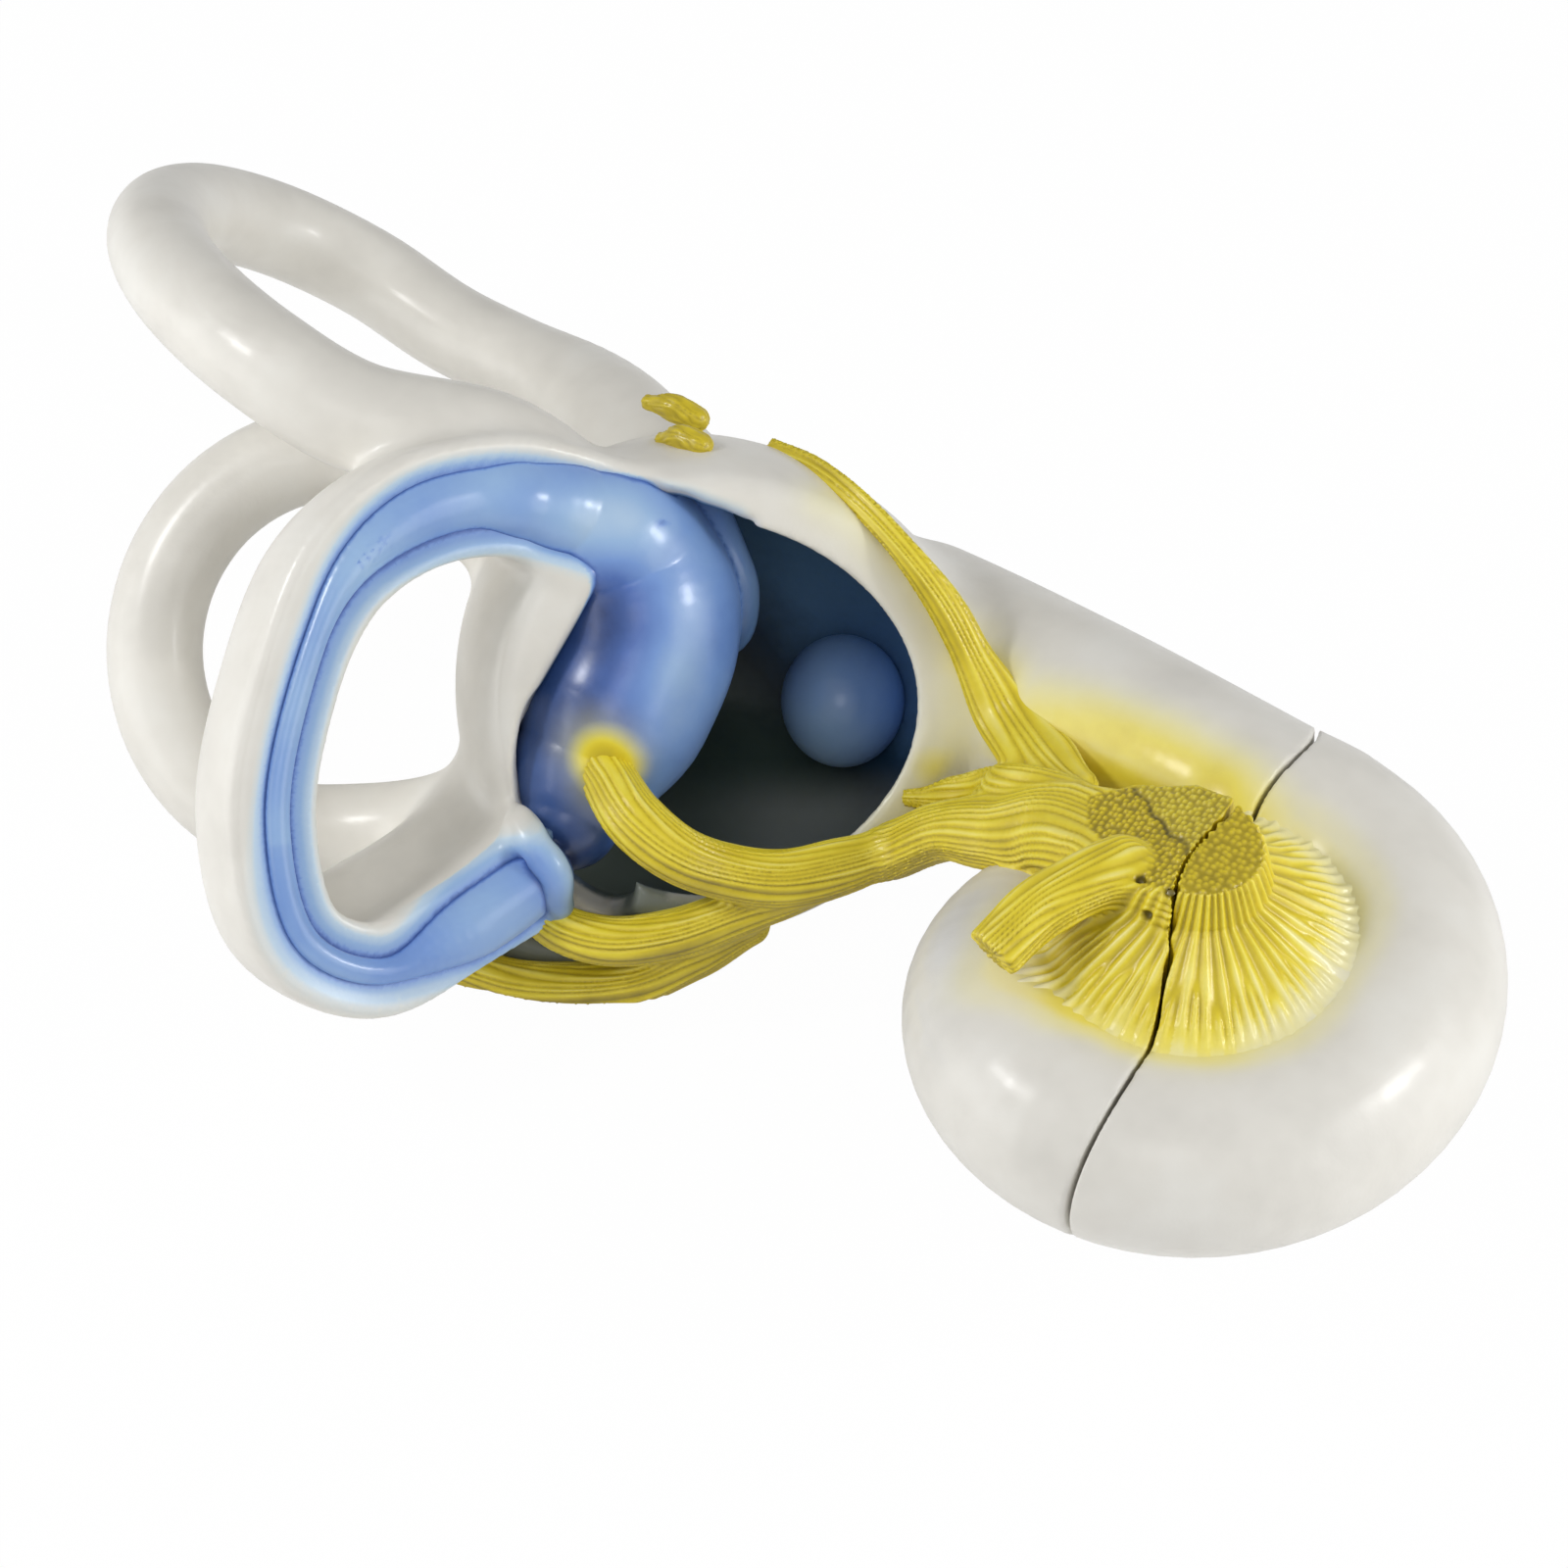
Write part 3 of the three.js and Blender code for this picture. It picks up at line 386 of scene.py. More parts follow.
def finer(points, quads):
    """Each face divided into four."""
    count = len(points)
    ends = np.stack([quads, np.roll(quads, -1, axis=1)], axis=2)
    pairs = np.sort(ends.reshape(-1, 2), axis=1)
    keys, index = np.unique(pairs[:, 0] * count + pairs[:, 1], return_inverse=True)
    middles = (points[keys // count] + points[keys % count]) / 2
    centres = points[quads].mean(axis=1)
    on_edge = count + index.reshape(-1, 4)
    on_face = count + len(middles) + np.arange(len(quads))
    parts = [
        np.column_stack([quads[:, k], on_edge[:, k], on_face, on_edge[:, k - 1]]) for k in range(4)
    ]
    return np.concatenate([points, middles, centres]), np.concatenate(parts)


def normals_of(points, quads):
    a, b, c, d = (points[quads[:, k]] for k in range(4))
    faces = np.cross(c - a, d - b)
    total = np.zeros_like(points)
    for k in range(4):
        for axis in range(3):
            total[:, axis] += np.bincount(quads[:, k], faces[:, axis], len(points))
    return total / np.maximum(np.linalg.norm(total, axis=1, keepdims=True), 1e-9)


def surface_of(block, field, fine=False):
    """Points, faces and normals of a field's surface, in smaller faces for fine relief."""
    points, quads = block.skin(field)
    if fine:
        points, quads = finer(points, quads)
        points = block.settle(field, points)
    return points, quads, normals_of(points, quads)


# Meshes

SEAM_DEPTH = 1.8  # how far under the skin the open side of a piece is closed


def add_object(name, data):
    made = bpy.data.objects.new(name, data)
    bpy.context.scene.collection.objects.link(made)
    return made


def add_mesh(name, points, faces, normals, masks):
    mesh = bpy.data.meshes.new(name)
    mesh.from_pydata((points * MM).tolist(), [], faces.tolist())
    for key, amounts in masks.items():
        layer = mesh.attributes.new(key, "FLOAT", "POINT")
        layer.data.foreach_set("value", np.asarray(amounts, np.float32))
    mesh.polygons.foreach_set("use_smooth", [True] * len(mesh.polygons))
    piece = add_object(name, mesh)
    close_holes(mesh)
    mesh.normals_split_custom_set_from_vertices(normals.tolist())
    return piece


def close_holes(mesh):
    """Closes the seams that a piece shares with its neighbours."""
    form = bmesh.new()
    form.from_mesh(mesh)
    open_edges = [edge for edge in form.edges if edge.is_boundary]
    if open_edges:
        made = bmesh.ops.holes_fill(form, edges=open_edges, sides=0)
        bmesh.ops.triangulate(form, faces=made["faces"])
        form.to_mesh(mesh)
    form.free()


def coat(piece, material):
    piece.data.materials.clear()
    piece.data.materials.append(material)


def dress(piece, material, body, slot, *nodes):
    coat(piece, material)
    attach(piece, body)
    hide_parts(*nodes)


def tucked(quads, count):
    """Walls that run inwards from the open edges, so that a piece closes out of sight.

    Returns the walls and the points at their top. The points at their foot come after count.
    """
    starts = quads.ravel()
    ends = np.roll(quads, -1, axis=1).ravel()
    open_edge = ~np.isin(ends * count + starts, starts * count + ends)
    starts, ends = starts[open_edge], ends[open_edge]
    rim, index = np.unique(np.concatenate([starts, ends]), return_inverse=True)
    foot = count + index.reshape(2, -1)
    return np.column_stack([ends, starts, foot[0], foot[1]]), rim


def cast(block, fields, surface, masks, material, slot):
    """Cuts a surface into a piece for each node of the labyrinth that its faces are nearest to."""
    points, quads, normals = surface
    middles = points[quads].mean(axis=1)
    labels = np.argmin([block.sample(field, middles) for field in fields.values()], axis=0)
    for number, name in enumerate(fields):
        used, index = np.unique(quads[labels == number], return_inverse=True)
        faces = index.reshape(-1, 4)
        walls, rim = tucked(faces, len(used))
        source = np.concatenate([used, used[rim]])
        places = points[source]
        places[len(used) :] -= SEAM_DEPTH * normals[used[rim]]
        faces = np.concatenate([faces, walls])
        chosen = {key: amounts[source] for key, amounts in masks.items()}
        piece = add_mesh(name + "_cast", places, faces, normals[source], chosen)
        dress(piece, material, "labyrinth", slot, name)


# Forms shared with the CAD source

LOOP_POINTS = 9


def loop_arc(middle, tip, side, start, end):
    angles = np.radians(np.linspace(start, end, LOOP_POINTS))
    return [middle + tip * math.cos(a) + side * math.sin(a) for a in angles]


superior_tip = front_direction(-36.5, 23, -6) * 42
superior_side = front_direction(-4.2, -14, 48) * 49
superior = Path(
    [
        *fronts((-30, 30, 12), (-46, 42, 20)),
        *loop_arc(front(-76, 67, -24), superior_tip, superior_side, 105, -110),
        *fronts((-33, 57, -46), (-14, 38, -18)),
    ],
    [(0, 11.5), (0.12, 10), (0.5, 9.3), (0.8, 8.8), (0.93, 11.5), (1, 11.5)],
    top=unit(np.cross(superior_tip, superior_side)),
    steps=90,
)

lateral_tip = front_direction(-34, 1, -3) * 34
lateral_side = front_direction(2, 37, -3) * 36
lateral = Path(
    [
        *fronts((-30, 16, 0), (-52, 34, -9)),
        *loop_arc(front(-78, 8.5, -17.5), lateral_tip, lateral_side, 95, -100),
        *fronts((-54, -24, -7), (-30, -10, 0)),
    ],
    [(0, 10.8), (0.2, 9), (0.85, 9), (1, 10.8)],
    steps=80,
)

section_normal = facing(*SECTION_FACING)
section_origin = front(-32, 0, 25)
section_across = unit(np.cross(UP, section_normal))
section_up = np.cross(section_normal, section_across)


def on_section(across, up):
    return section_origin + across * section_across + up * section_up


POSTERIOR_LINE = [
    (0.2, 0.33), (-0.02, 0.37), (-0.27, 0.39), (-0.56, 0.345), (-0.79, 0.22), (-0.94, -0.02),
    (-1.0, -0.3), (-0.88, -0.55), (-0.62, -0.615), (-0.34, -0.535), (-0.04, -0.41), (0.1, -0.33),
]
posterior_points = [
    on_section(a * POSTERIOR_REACH, b * POSTERIOR_HEIGHT) for a, b in POSTERIOR_LINE
]
posterior_width = keyed(
    [
        (0, POSTERIOR_ROOT_WIDTH),
        (0.2, POSTERIOR_ROOT_WIDTH - 1),
        (0.42, POSTERIOR_FACE_WIDTH),
        (0.85, POSTERIOR_FACE_WIDTH + 0.5),
        (1, POSTERIOR_ROOT_WIDTH - 2),
    ]
)
posterior_body = Path(
    posterior_points,
    lambda u: posterior_width(u) / 2 + 0.8,
    top=section_normal,
    rise=facing(POSTERIOR_LEAN, SECTION_FACING[1]),
    steps=90,
)
posterior_body.height[:] = POSTERIOR_DEPTH
duct_radius = keyed([(0, 6.6), (0.2, 6.0), (0.38, 2.2), (0.76, 2.4), (0.87, 6.6), (0.95, 6.4)])
duct_depth = keyed([(0, 4.6), (0.2, 4.5), (0.38, 2.3), (0.76, 2.2), (0.87, 3.6), (0.95, 3.6)])
groove_width = [(0, 7.6), (0.2, 7.4), (0.4, 6.4), (0.78, 6.5), (0.9, 8), (1, 8)]
AMPULLA_END = 0.945  # where the duct stops, as a share of the canal's length
posterior_groove = Path(posterior_points, groove_width, top=section_normal, steps=90)
posterior_groove.height[:] = 2.4


def duct_part(start, end):
    """A part of the posterior duct, from one share of the canal's length to another."""
    part = Path(posterior_points, duct_radius, flatness=0.9, top=section_normal, steps=90)
    part.at = part.at - section_normal * duct_depth(part.u)[:, None]
    chosen = (part.u >= start) & (part.u <= end)
    for key in ("at", "u", "width", "height"):
        setattr(part, key, getattr(part, key)[chosen])
    return part


upper_duct = duct_part(0, 0.6)
lower_duct = duct_part(0.58, AMPULLA_END)
posterior_web = Path(
    fronts((-75, -43.7, 16), (-60.6, -35, 8), (-46.7, -23.4, 2)), [(0, 9.5), (1, 9.5)], steps=16
)

utricle = Path(
    fronts(
        (-40, 32, 29), (-30, 30, 20), (-21, 22, 11), (-19.5, 9, 8.5), (-25.2, -6, 8.5),
        (-30.4, -17, 9.5), (-33, -24, 11),
    ),
    [(0, 5), (0.14, 8.5), (0.34, 15.4), (0.5, 17.8), (0.7, 17.4), (0.85, 14.2), (1, 9.8)],
)
superior_duct = Path(
    fronts(
        (-12.5, 39.5, 7), (-8.5, 33.5, 7), (-4.4, 24.5, 6.5), (-1.8, 17, 3), (-2.4, 10.5, 0),
        (-8, 5, -4),
    ),
    [(0, 4), (0.5, 3.9), (0.8, 3.2), (1, 2)],
    steps=30,
)

vestibule_centre = front(-6, 0, 0)
rim_point = vestibule_centre + OUT * RIM_OFFSET
rim_normal = facing(*RIM_FACING)

turn_size = keyed(
    [(0, 1), (180, 0.97), (270, 0.88), (360, 0.53), (540, 0.45), (720, 0.25), (900, 0.1)]
)
turn_height = keyed([(180, 1), (360, 0.53), (540, 0.4), (720, 0.23), (900, 0.19)])
turn_tube = keyed([(0, 1), (230, 0.98), (360, 0.71), (540, 0.62), (720, 0.54), (900, 0.42)])
cochlea_x, cochlea_y = COCHLEA_CENTRE


def spiral_points(start, end, count):
    angle = np.linspace(start, end, count)
    around = np.radians(90 - angle)
    return np.column_stack(
        [
            cochlea_x + COCHLEA_HALF_WIDTH * turn_size(angle) * np.cos(around),
            cochlea_y + COCHLEA_HALF_LENGTH * turn_size(angle) * np.sin(around),
            COCHLEA_HEIGHT * turn_height(angle),
        ]
    )


def spiral_path(start, end, inset):
    return Path(
        spiral_points(start, end, int((end - start) / 6)),
        lambda u: BASAL_RADIUS * turn_tube(start + (end - start) * u) - inset,
        top=AXIS,
        spline=False,
    )


basal_end = spiral_points(0, 360, 2)[0]
basal_line = [
    (21.36, basal_end[1] + 14, basal_end[2] - 20),
    (47.36, basal_end[1] + 10, basal_end[2] - 13.5),
    (71.36, basal_end[1] + 5.5, basal_end[2] - 6.5),
    (93.36, basal_end[1] + 1.5, basal_end[2] - 1.2),
    basal_end,
]


def basal_path(inset=0.0, skipped=0):
    width = keyed([(0, BASAL_START_RADIUS - inset), (1, BASAL_RADIUS - inset)])
    return Path(basal_line[skipped:], width, top=AXIS, steps=40)


split_points = np.array(
    [
        (112, 70), (103, 42), (107.5, 27), (106.5, 11), (109, -4), (108.5, -18), (110.5, -26),
        (114.5, -34), (118, -46), (119.5, -58), (119, -80),
    ]
) + np.array([-0.64, 4.66])
split_curve = smooth_curve(np.column_stack([split_points, np.zeros(len(split_points))]), 80)[::-1]


def split_x(y):
    return np.interp(y, split_curve[:, 1], split_curve[:, 0])


FIXED_SIDE = -1
CAP_SIDE = 1
CUT_EDGE = 0.8  # how far the edges of a cut are rounded


def beyond_split(block, side):
    """Distance into the gap between the halves, for the fixed side or the cap's side."""
    x, y, z = block.points()
    edge = split_x(y.ravel())[None, :, None].astype(np.float32)
    return (SPLIT_GAP / 2 - side * (x - edge)) * np.float32(0.97) + 0 * z


def cochlea_field(block):
    x, y, z = block.points()
    rho = np.sqrt((x - cochlea_x) ** 2 + (y - cochlea_y) ** 2)
    radius = np.interp(z, [0, 12, 24, 34, 42], [9, 14, 22, 28, 28]).astype(np.float32)
    core = np.maximum((rho - radius) * np.float32(0.85), z - 42)
    turns = block.sweep(spiral_path(-15, 900, 0))
    return join(join(turns, core, 3), block.sweep(basal_path()), 1.5)


def lumen_field(block):
    tube = block.sweep(spiral_path(-15, 705, COCHLEA_WALL), reach=4)
    return np.minimum(tube, block.sweep(basal_path(COCHLEA_WALL, 2), reach=4))


def hollowed(block, solid, side):
    """A solid with the cochlea's lumen cut out of it, flat below and cut at the split."""
    solid = meet(solid, -lumen_field(block), CUT_EDGE)
    solid = meet(solid, -block.points()[2] + 0 * solid, 1.0)
    return np.maximum(solid, beyond_split(block, side))


# Nerves

nerve_paths = {
    "utricular_nerve": Path(
        fronts(
            (-25.7, -16.3, 20), (-20.3, -24.3, 26), (-12.9, -30.4, 27), (-4.7, -33.6, 24),
            (5.8, -34.9, 21.5), (17.7, -32.5, 20), (28.3, -28.9, 20),
        ),
        [(0, 5), (0.2, 5.5), (0.45, 5), (0.75, 5.2), (1, 3.8)],
    ),
    "posterior_ampullary_nerve": Path(
        fronts(
            (-39.5, -39.9, 16), (-33.8, -44, 17), (-25.1, -46.3, 17), (-13.1, -45, 17),
            (-2.2, -41.1, 17.5), (8.9, -36.9, 18), (18.3, -32.8, 20),
        ),
        [(0, 4), (0.25, 4.6), (0.75, 4.3), (1, 2.6)],
    ),
    "inferior_nerve_strand": Path(
        fronts(
            (-53.1, -50.9, 6), (-44, -54, 6), (-33.9, -55, 7.5), (-21.4, -53.9, 8),
            (-10.4, -49, 11), (0.1, -43.6, 13),
        ),
        [(0, 4), (0.3, 4.6), (0.8, 4.6), (1, 3.6)],
    ),
    "superior_vestibular_nerve": Path(
        fronts(
            (4, 43.4, 4), (12, 39.3, 12), (19.7, 32.7, 19), (28.2, 23.2, 23), (35.4, 13.6, 22),
            (41.1, 3.1, 20), (45.6, -5, 20), (51, -12.8, 28), (57.7, -19.4, 44),
        ),
        [(0, 1.8), (0.3, 2.3), (0.55, 3.4), (0.72, 5.6), (0.85, 6.2), (1, 4)],
        flatness=0.6,
        steps=70,
    ),
    "saccular_nerve": Path(
        [
            *fronts((28.5, -20.5, 15), (34.5, -20.8, 19), (42, -20, 25.5)),
            (62.26, 1.6, 49), (70.86, 1.26, 55), (78.96, -0.24, 60.5),
        ],
        [(0, 1.6), (0.25, 4.2), (0.6, 6.4), (1, 4)],
        flatness=0.55,
    ),
    "nerve_trunk": Path(
        [
            front(26, -30, 19),
            (55.26, -5.04, 42), (66.46, -4.54, 48.5), (77.06, -3.84, 55), (88.46, -6.84, 62.5),
            (100.36, -12.5, 68.5), (109.36, -14.5, 71),
        ],
        [(0, 5.4), (0.17, 5.6), (0.33, 7), (0.5, 9), (0.66, 10), (0.85, 9.5), (1, 9)],
        flatness=0.9,
        top=AXIS,
    ),
    "nerve_stump": Path(
        [
            (98.26, -17.24, 74), (93.76, -25.54, 74), (90.16, -32.84, 72.5),
            (87.66, -42.74, 69.5), (87.2, -44.6, 68.9),
        ],
        [(0, 6.2), (0.4, 5.8), (1, 5.2)],
        flatness=0.72,
        top=AXIS,
        steps=24,
    ),
}
stub_paths = {
    "superior_ampulla_nerve": Path(
        fronts((-18.6, 52.2, -2), (-14, 51.1, 0), (-9.7, 48.9, 1)),
        [(0, 1.4), (0.6, 2.6), (1, 2.3)],
        steps=16,
    ),
    "lateral_ampulla_nerve": Path(
        fronts((-15.8, 44.4, 11.8), (-12.3, 44.4, 14.5), (-8.9, 43, 16.4)),
        [(0, 1.3), (0.6, 2.6), (1, 2.4)],
        steps=16,
    ),
}
cut_normal = unit((-0.5, 0, 1))
cut_point = np.array([108.36, -10.34, NERVE_TOP])
CUT_OUTLINE = [
    (82, -2.5), (88.5, 2), (99.8, 3.6), (108.9, 0.9), (114, -10),
    (110.1, -22), (102.1, -21.3), (97, -19.9), (92.4, -14.1), (86.1, -9.2),
]
divide_normal = unit((0.59, 0.81, 0))
divide_point = np.array([97.36, -5.34, 0])


def outline_gap(x, y):
    """Distance to the outline of the trunk's cut face, seen along Z."""
    corners = np.array(CUT_OUTLINE, float)
    least = np.full(np.broadcast(x, y).shape, 1e9)
    inside = np.zeros(least.shape, bool)
    for (ax, ay), (bx, by) in zip(corners, np.roll(corners, -1, axis=0)):
        dx, dy = bx - ax, by - ay
        t = np.clip(((x - ax) * dx + (y - ay) * dy) / (dx**2 + dy**2), 0, 1)
        least = np.minimum(least, np.hypot(x - ax - t * dx, y - ay - t * dy))
        inside ^= ((ay > y) != (by > y)) & (x < ax + (y - ay) * dx / (dy + 1e-9))
    return np.where(inside, -least, least)


FAN_AXIS = (cochlea_x, cochlea_y)
FAN_BOTTOM = 50
FAN_LIMIT = 40
# Height, half width along X and Y, shift along X and Y
COLUMN_LEVELS = [
    (36, 14, 14, -2, 0), (56, 17, 16, -2, 1), (60, 27, 27, 0, 0), (62.5, 26, 26, 0, 0),
    (64.8, 23.5, 23.5, -0.6, 0), (68, 20, 19, -2.4, 0.6), (73, 15, 13, -4.9, 2.2),
    (84, 13, 10.6, -6.5, 3.3),
]


def column_field(block):
    """The cochlear nerve, a column that spreads like a trumpet."""
    x, y, z = block.points()
    level, *sizes = np.array(COLUMN_LEVELS, float).T
    half_x, half_y, shift_x, shift_y = (np.interp(z, level, s).astype(np.float32) for s in sizes)
    across = x - (cochlea_x + shift_x)
    along = y - (cochlea_y + shift_y)
    d = oval(across, along, half_x, half_y)
    return np.maximum(d * np.float32(0.7), FAN_BOTTOM - z)


# Paint masks


def spray(points, places, radius, strength):
    """An airbrushed spot or stroke, soft at its edge."""
    best = np.full(len(points), 1e9)
    places = np.asarray(places, float)
    for a, b in zip(places[:-1], places[1:]):
        t = np.clip(((points - a) @ (b - a)) / max((b - a) @ (b - a), 1e-9), 0, 1)
        best = np.minimum(best, np.linalg.norm(points - a - t[:, None] * (b - a), axis=1))
    return strength * smoothstep(1 - best / radius)


def sprays(points, *strokes):
    """The strongest of several sprays at each point."""
    return np.max([spray(points, *stroke) for stroke in strokes], axis=0)


def fan_polar(points):
    """Angle round the fan's axis and distance from it."""
    dx = points[:, 0] - FAN_AXIS[0]
    dy = points[:, 1] - FAN_AXIS[1]
    return np.arctan2(dy, dx), np.hypot(dx, dy)


FAN_RIDGE_COUNT = 74
fan_reach = keyed(
    [
        (-180, 27), (-152, 32), (-131, 36), (-110, 30), (-92, 25.5), (-60, 25), (-28, 26),
        (8, 24), (48, 27.5), (93, 27.5), (180, 27),
    ]
)


def fan_edge(angle):
    """Where the fan's ridges end. They are of uneven length."""
    ridge = np.round(angle / (2 * np.pi) * FAN_RIDGE_COUNT)
    uneven = np.sin(ridge * 2.4) + 0.6 * np.sin(ridge * 5.1 + 1)
    return fan_reach(np.degrees(angle)) + 0.8 * uneven


def fan_ridges(angle, distance):
    """Height of the fan's ridges, from 0 in a groove to 1 on a ridge. They fork on the way out."""
    warped = angle + 0.014 * np.sin(9 * angle + 1) + 0.009 * np.sin(23 * angle)
    phase = FAN_RIDGE_COUNT * warped + 0.5 * np.sin(angle * 5 + distance * 0.12)
    forked = 0.5 + 0.5 * np.cos(phase)
    single = 0.5 + 0.5 * np.cos(phase / 2)
    outward = smoothstep((distance - 17 - 2 * np.sin(phase / 6)) / 5)
    return (single + (forked - single) * outward) ** 1.2


def fan_share(points, edge=fan_edge):
    """Distance from the fan's axis, as a share of the ridges' reach there."""
    angle, distance = fan_polar(points)
    return distance / edge(angle)


def halo_edge(angle):
    return fan_reach(np.degrees(angle))


fan_tone = keyed([(0.5, 0.5), (0.7, 0.4), (1.0, 0.28), (1.12, 0.17), (1.34, 0)])


def fan_fade(points):
    """Share of the relief that is left towards the ends of the fan's ridges."""
    return smoothstep((1.08 - fan_share(points)) / 0.2)


def fan_field(block, surface):
    """The cochlear nerve with its thin spread over the turn that it enters."""
    x, y, z = block.points()
    angle = np.arctan2(y - FAN_AXIS[1], x - FAN_AXIS[0])
    distance = np.hypot(x - FAN_AXIS[0], y - FAN_AXIS[1])
    fade = smoothstep((distance - fan_edge(angle) + 7) / 9)
    skin = surface - (0.5 - 1.2 * fade).astype(np.float32)
    skin = np.maximum(skin, -2.5 - surface)
    skin = np.maximum(np.maximum(skin, FAN_BOTTOM - z), (distance - FAN_LIMIT).astype(np.float32))
    return join(column_field(block), skin, 3)


# Bone

BONE_STEP = 0.8
FINE_STEP = 0.6

bone_block = Block((-153, -98, -2), (123, 72, 106), BONE_STEP)
egg = bone_block.egg(vestibule_centre, VESTIBULE_HALF, VESTIBULE_TAPER)
superior_field, lateral_field, posterior_field, web = (
    bone_block.sweep(path) for path in (superior, lateral, posterior_body, posterior_web)
)
cochlea = cochlea_field(bone_block)
section_plane = bone_block.plane(section_origin, section_normal)
# A bar of bone under the rim, between two nerves. The bone masks paint it dark all over, as
# painted shade that fills the gap there.
under_rim = Path(
    fronts((-49, -43.5, 2), (-40, -47.5, 2), (-30, -49.5, 3)), [(0, 4.6), (1, 4.6)], steps=12
)
bone = meet(egg, bone_block.plane(rim_point, rim_normal), 2.5)
for form, fillet in (
    (superior_field, 5),
    (lateral_field, 5),
    (cochlea, 8),
    (meet(posterior_field, section_plane, 4.0), 5),
    (web, 7),
    (bone_block.sweep(under_rim), 3),
):
    bone = join(bone, form, fillet)

inner_half = [half - VESTIBULE_WALL for half in VESTIBULE_HALF]
hollow = bone_block.egg(vestibule_centre, inner_half, VESTIBULE_TAPER)
hollow = meet(hollow, VESTIBULE_FLOOR - bone_block.points()[2] + 0 * hollow, 4.0)
mouth_half = [inner_half[0] + 4.0, inner_half[1] + 0.8, inner_half[2]]
mouth = bone_block.egg(vestibule_centre - 7 * RIGHT - 1.5 * UP, mouth_half, VESTIBULE_TAPER)
below_lip = bone_block.plane(rim_point - 6 * unit(rim_normal), rim_normal)
hollow = meet(hollow, join(mouth, below_lip, 3.0), 1.5)
wall_side = -0.863 * RIGHT + 0.506 * UP
hollow = meet(hollow, bone_block.plane(front(-28.2, 15.4, 20), wall_side), 2.0)

# Cutters that widen the cavity's mouth: the notch of the posterior canal and two trimmed edges

notch = Path(
    fronts((-32, -1, 22), (-34, -7, 21), (-35.2, -14, 20), (-35, -19, 20)),
    [(0, 5), (0.4, 6.9), (1, 6.9)],
    flatness=1.8,
    steps=16,
)
trim = Path(
    fronts((-29, -24, 20), (-29, -29.5, 17), (-27, -35, 14)),
    [(0, 5), (0.5, 6), (1, 6.4)],
    flatness=1.6,
    steps=12,
)
corner_trim = Path(
    fronts((-18, 34.3, 26), (-13.5, 31.5, 25), (-7, 30.2, 24), (0, 28.6, 23)),
    [(0, 1.6), (0.33, 3.2), (0.66, 1.9), (1, 0.9)],
    flatness=1.8,
    steps=12,
)
cavity = hollow
for cutter in (notch, trim, corner_trim):
    cavity = np.minimum(cavity, bone_block.sweep(cutter))
ampulla_ring = Path(
    fronts((-41, -25, 24), (-38, -29, 26.5), (-34.4, -34, 26), (-34, -39, 22)),
    [(0, 2.4), (0.5, 3), (1, 2.4)],
    steps=16,
)
bone = meet(bone, -cavity, 2.4)
bone = meet(bone, -bone_block.sweep(posterior_groove, section=trough), 3.0)
bone = join(bone, bone_block.sweep(ampulla_ring), 4)
bone = hollowed(bone_block, bone, FIXED_SIDE)
bone_surface = surface_of(bone_block, bone)

# A face belongs to the form that it is nearest to. The cavity's wall stays with the vestibule.

SEAM_SHIFT = 0.5
bone_fields = {
    "vestibule_shell": np.minimum(egg, 12 * hollow - 25),
    "superior_canal": superior_field + SEAM_SHIFT,
    "lateral_canal": lateral_field + SEAM_SHIFT,
    "posterior_canal": np.minimum(posterior_field, web) + SEAM_SHIFT,
    "cochlea_base_half": cochlea + SEAM_SHIFT,
}

# Membranes

membrane_block = Block((-98, -92, 2), (40, 46, 98), FINE_STEP)
membrane_fields = {
    "utricle": membrane_block.sweep(utricle),
    "superior_duct": membrane_block.sweep(superior_duct),
    "posterior_duct": membrane_block.sweep(upper_duct),
    "saccule": membrane_block.egg(front(17.3, -2.4, -20.5), (11.6, 12.5, 13.3)),
}
sacs = join(membrane_fields["utricle"], membrane_fields["posterior_duct"], 7)
sacs = join(sacs, membrane_fields["superior_duct"], 1.0)
lower_field = membrane_block.sweep(lower_duct)
sacs = np.minimum(np.minimum(sacs, lower_field), membrane_fields["saccule"])
membrane_fields["posterior_duct"] = np.minimum(membrane_fields["posterior_duct"], lower_field)
membrane_surface = surface_of(membrane_block, sacs)

# Nerves

nerve_block = Block((-54, -90, 8), (124, 44, 92), FINE_STEP)
nerve_fields = {name: nerve_block.sweep(path) for name, path in nerve_paths.items()}
trunk_cut = nerve_block.plane(cut_point, cut_normal)
face_gap = outline_gap(nerve_block.axes[0][:, None], nerve_block.axes[1][None, :])
pad = 0.9 * (face_gap[:, :, None] + 0.4 * np.minimum(trunk_cut, 0))
pad = np.maximum(pad.astype(np.float32), -9 - trunk_cut)
nerve_fields["nerve_trunk"] = join(nerve_fields["nerve_trunk"], pad, 1.5)
stump_cut = nerve_block.plane((87.66, -42.74, 69.5), (-0.24, -0.93, -0.28))
nerve_fields["nerve_stump"] = meet(nerve_fields["nerve_stump"], stump_cut, CUT_EDGE)
column = fan_field(nerve_block, cochlea_field(nerve_block))
nerves = meet(join(nerve_fields["nerve_trunk"], column, 2.5), trunk_cut, CUT_EDGE)
nerve_fields["nerve_trunk"] = np.maximum(nerve_fields["nerve_trunk"], trunk_cut)
column = np.maximum(column, trunk_cut)
for name in nerve_paths:
    if name != "nerve_trunk":
        nerves = join(nerves, nerve_fields[name], 2.5)
nerves = np.maximum(nerves, beyond_split(nerve_block, FIXED_SIDE))
nerve_points, nerve_quads, nerve_normals = surface_of(nerve_block, nerves, fine=True)

# Outer half of the cochlea

cap_block = Block((98, -70, -2), (170, 45, 92), FINE_STEP)
cap_solid = cochlea_field(cap_block)
cap_surface = surface_of(cap_block, hollowed(cap_block, cap_solid, CAP_SIDE))

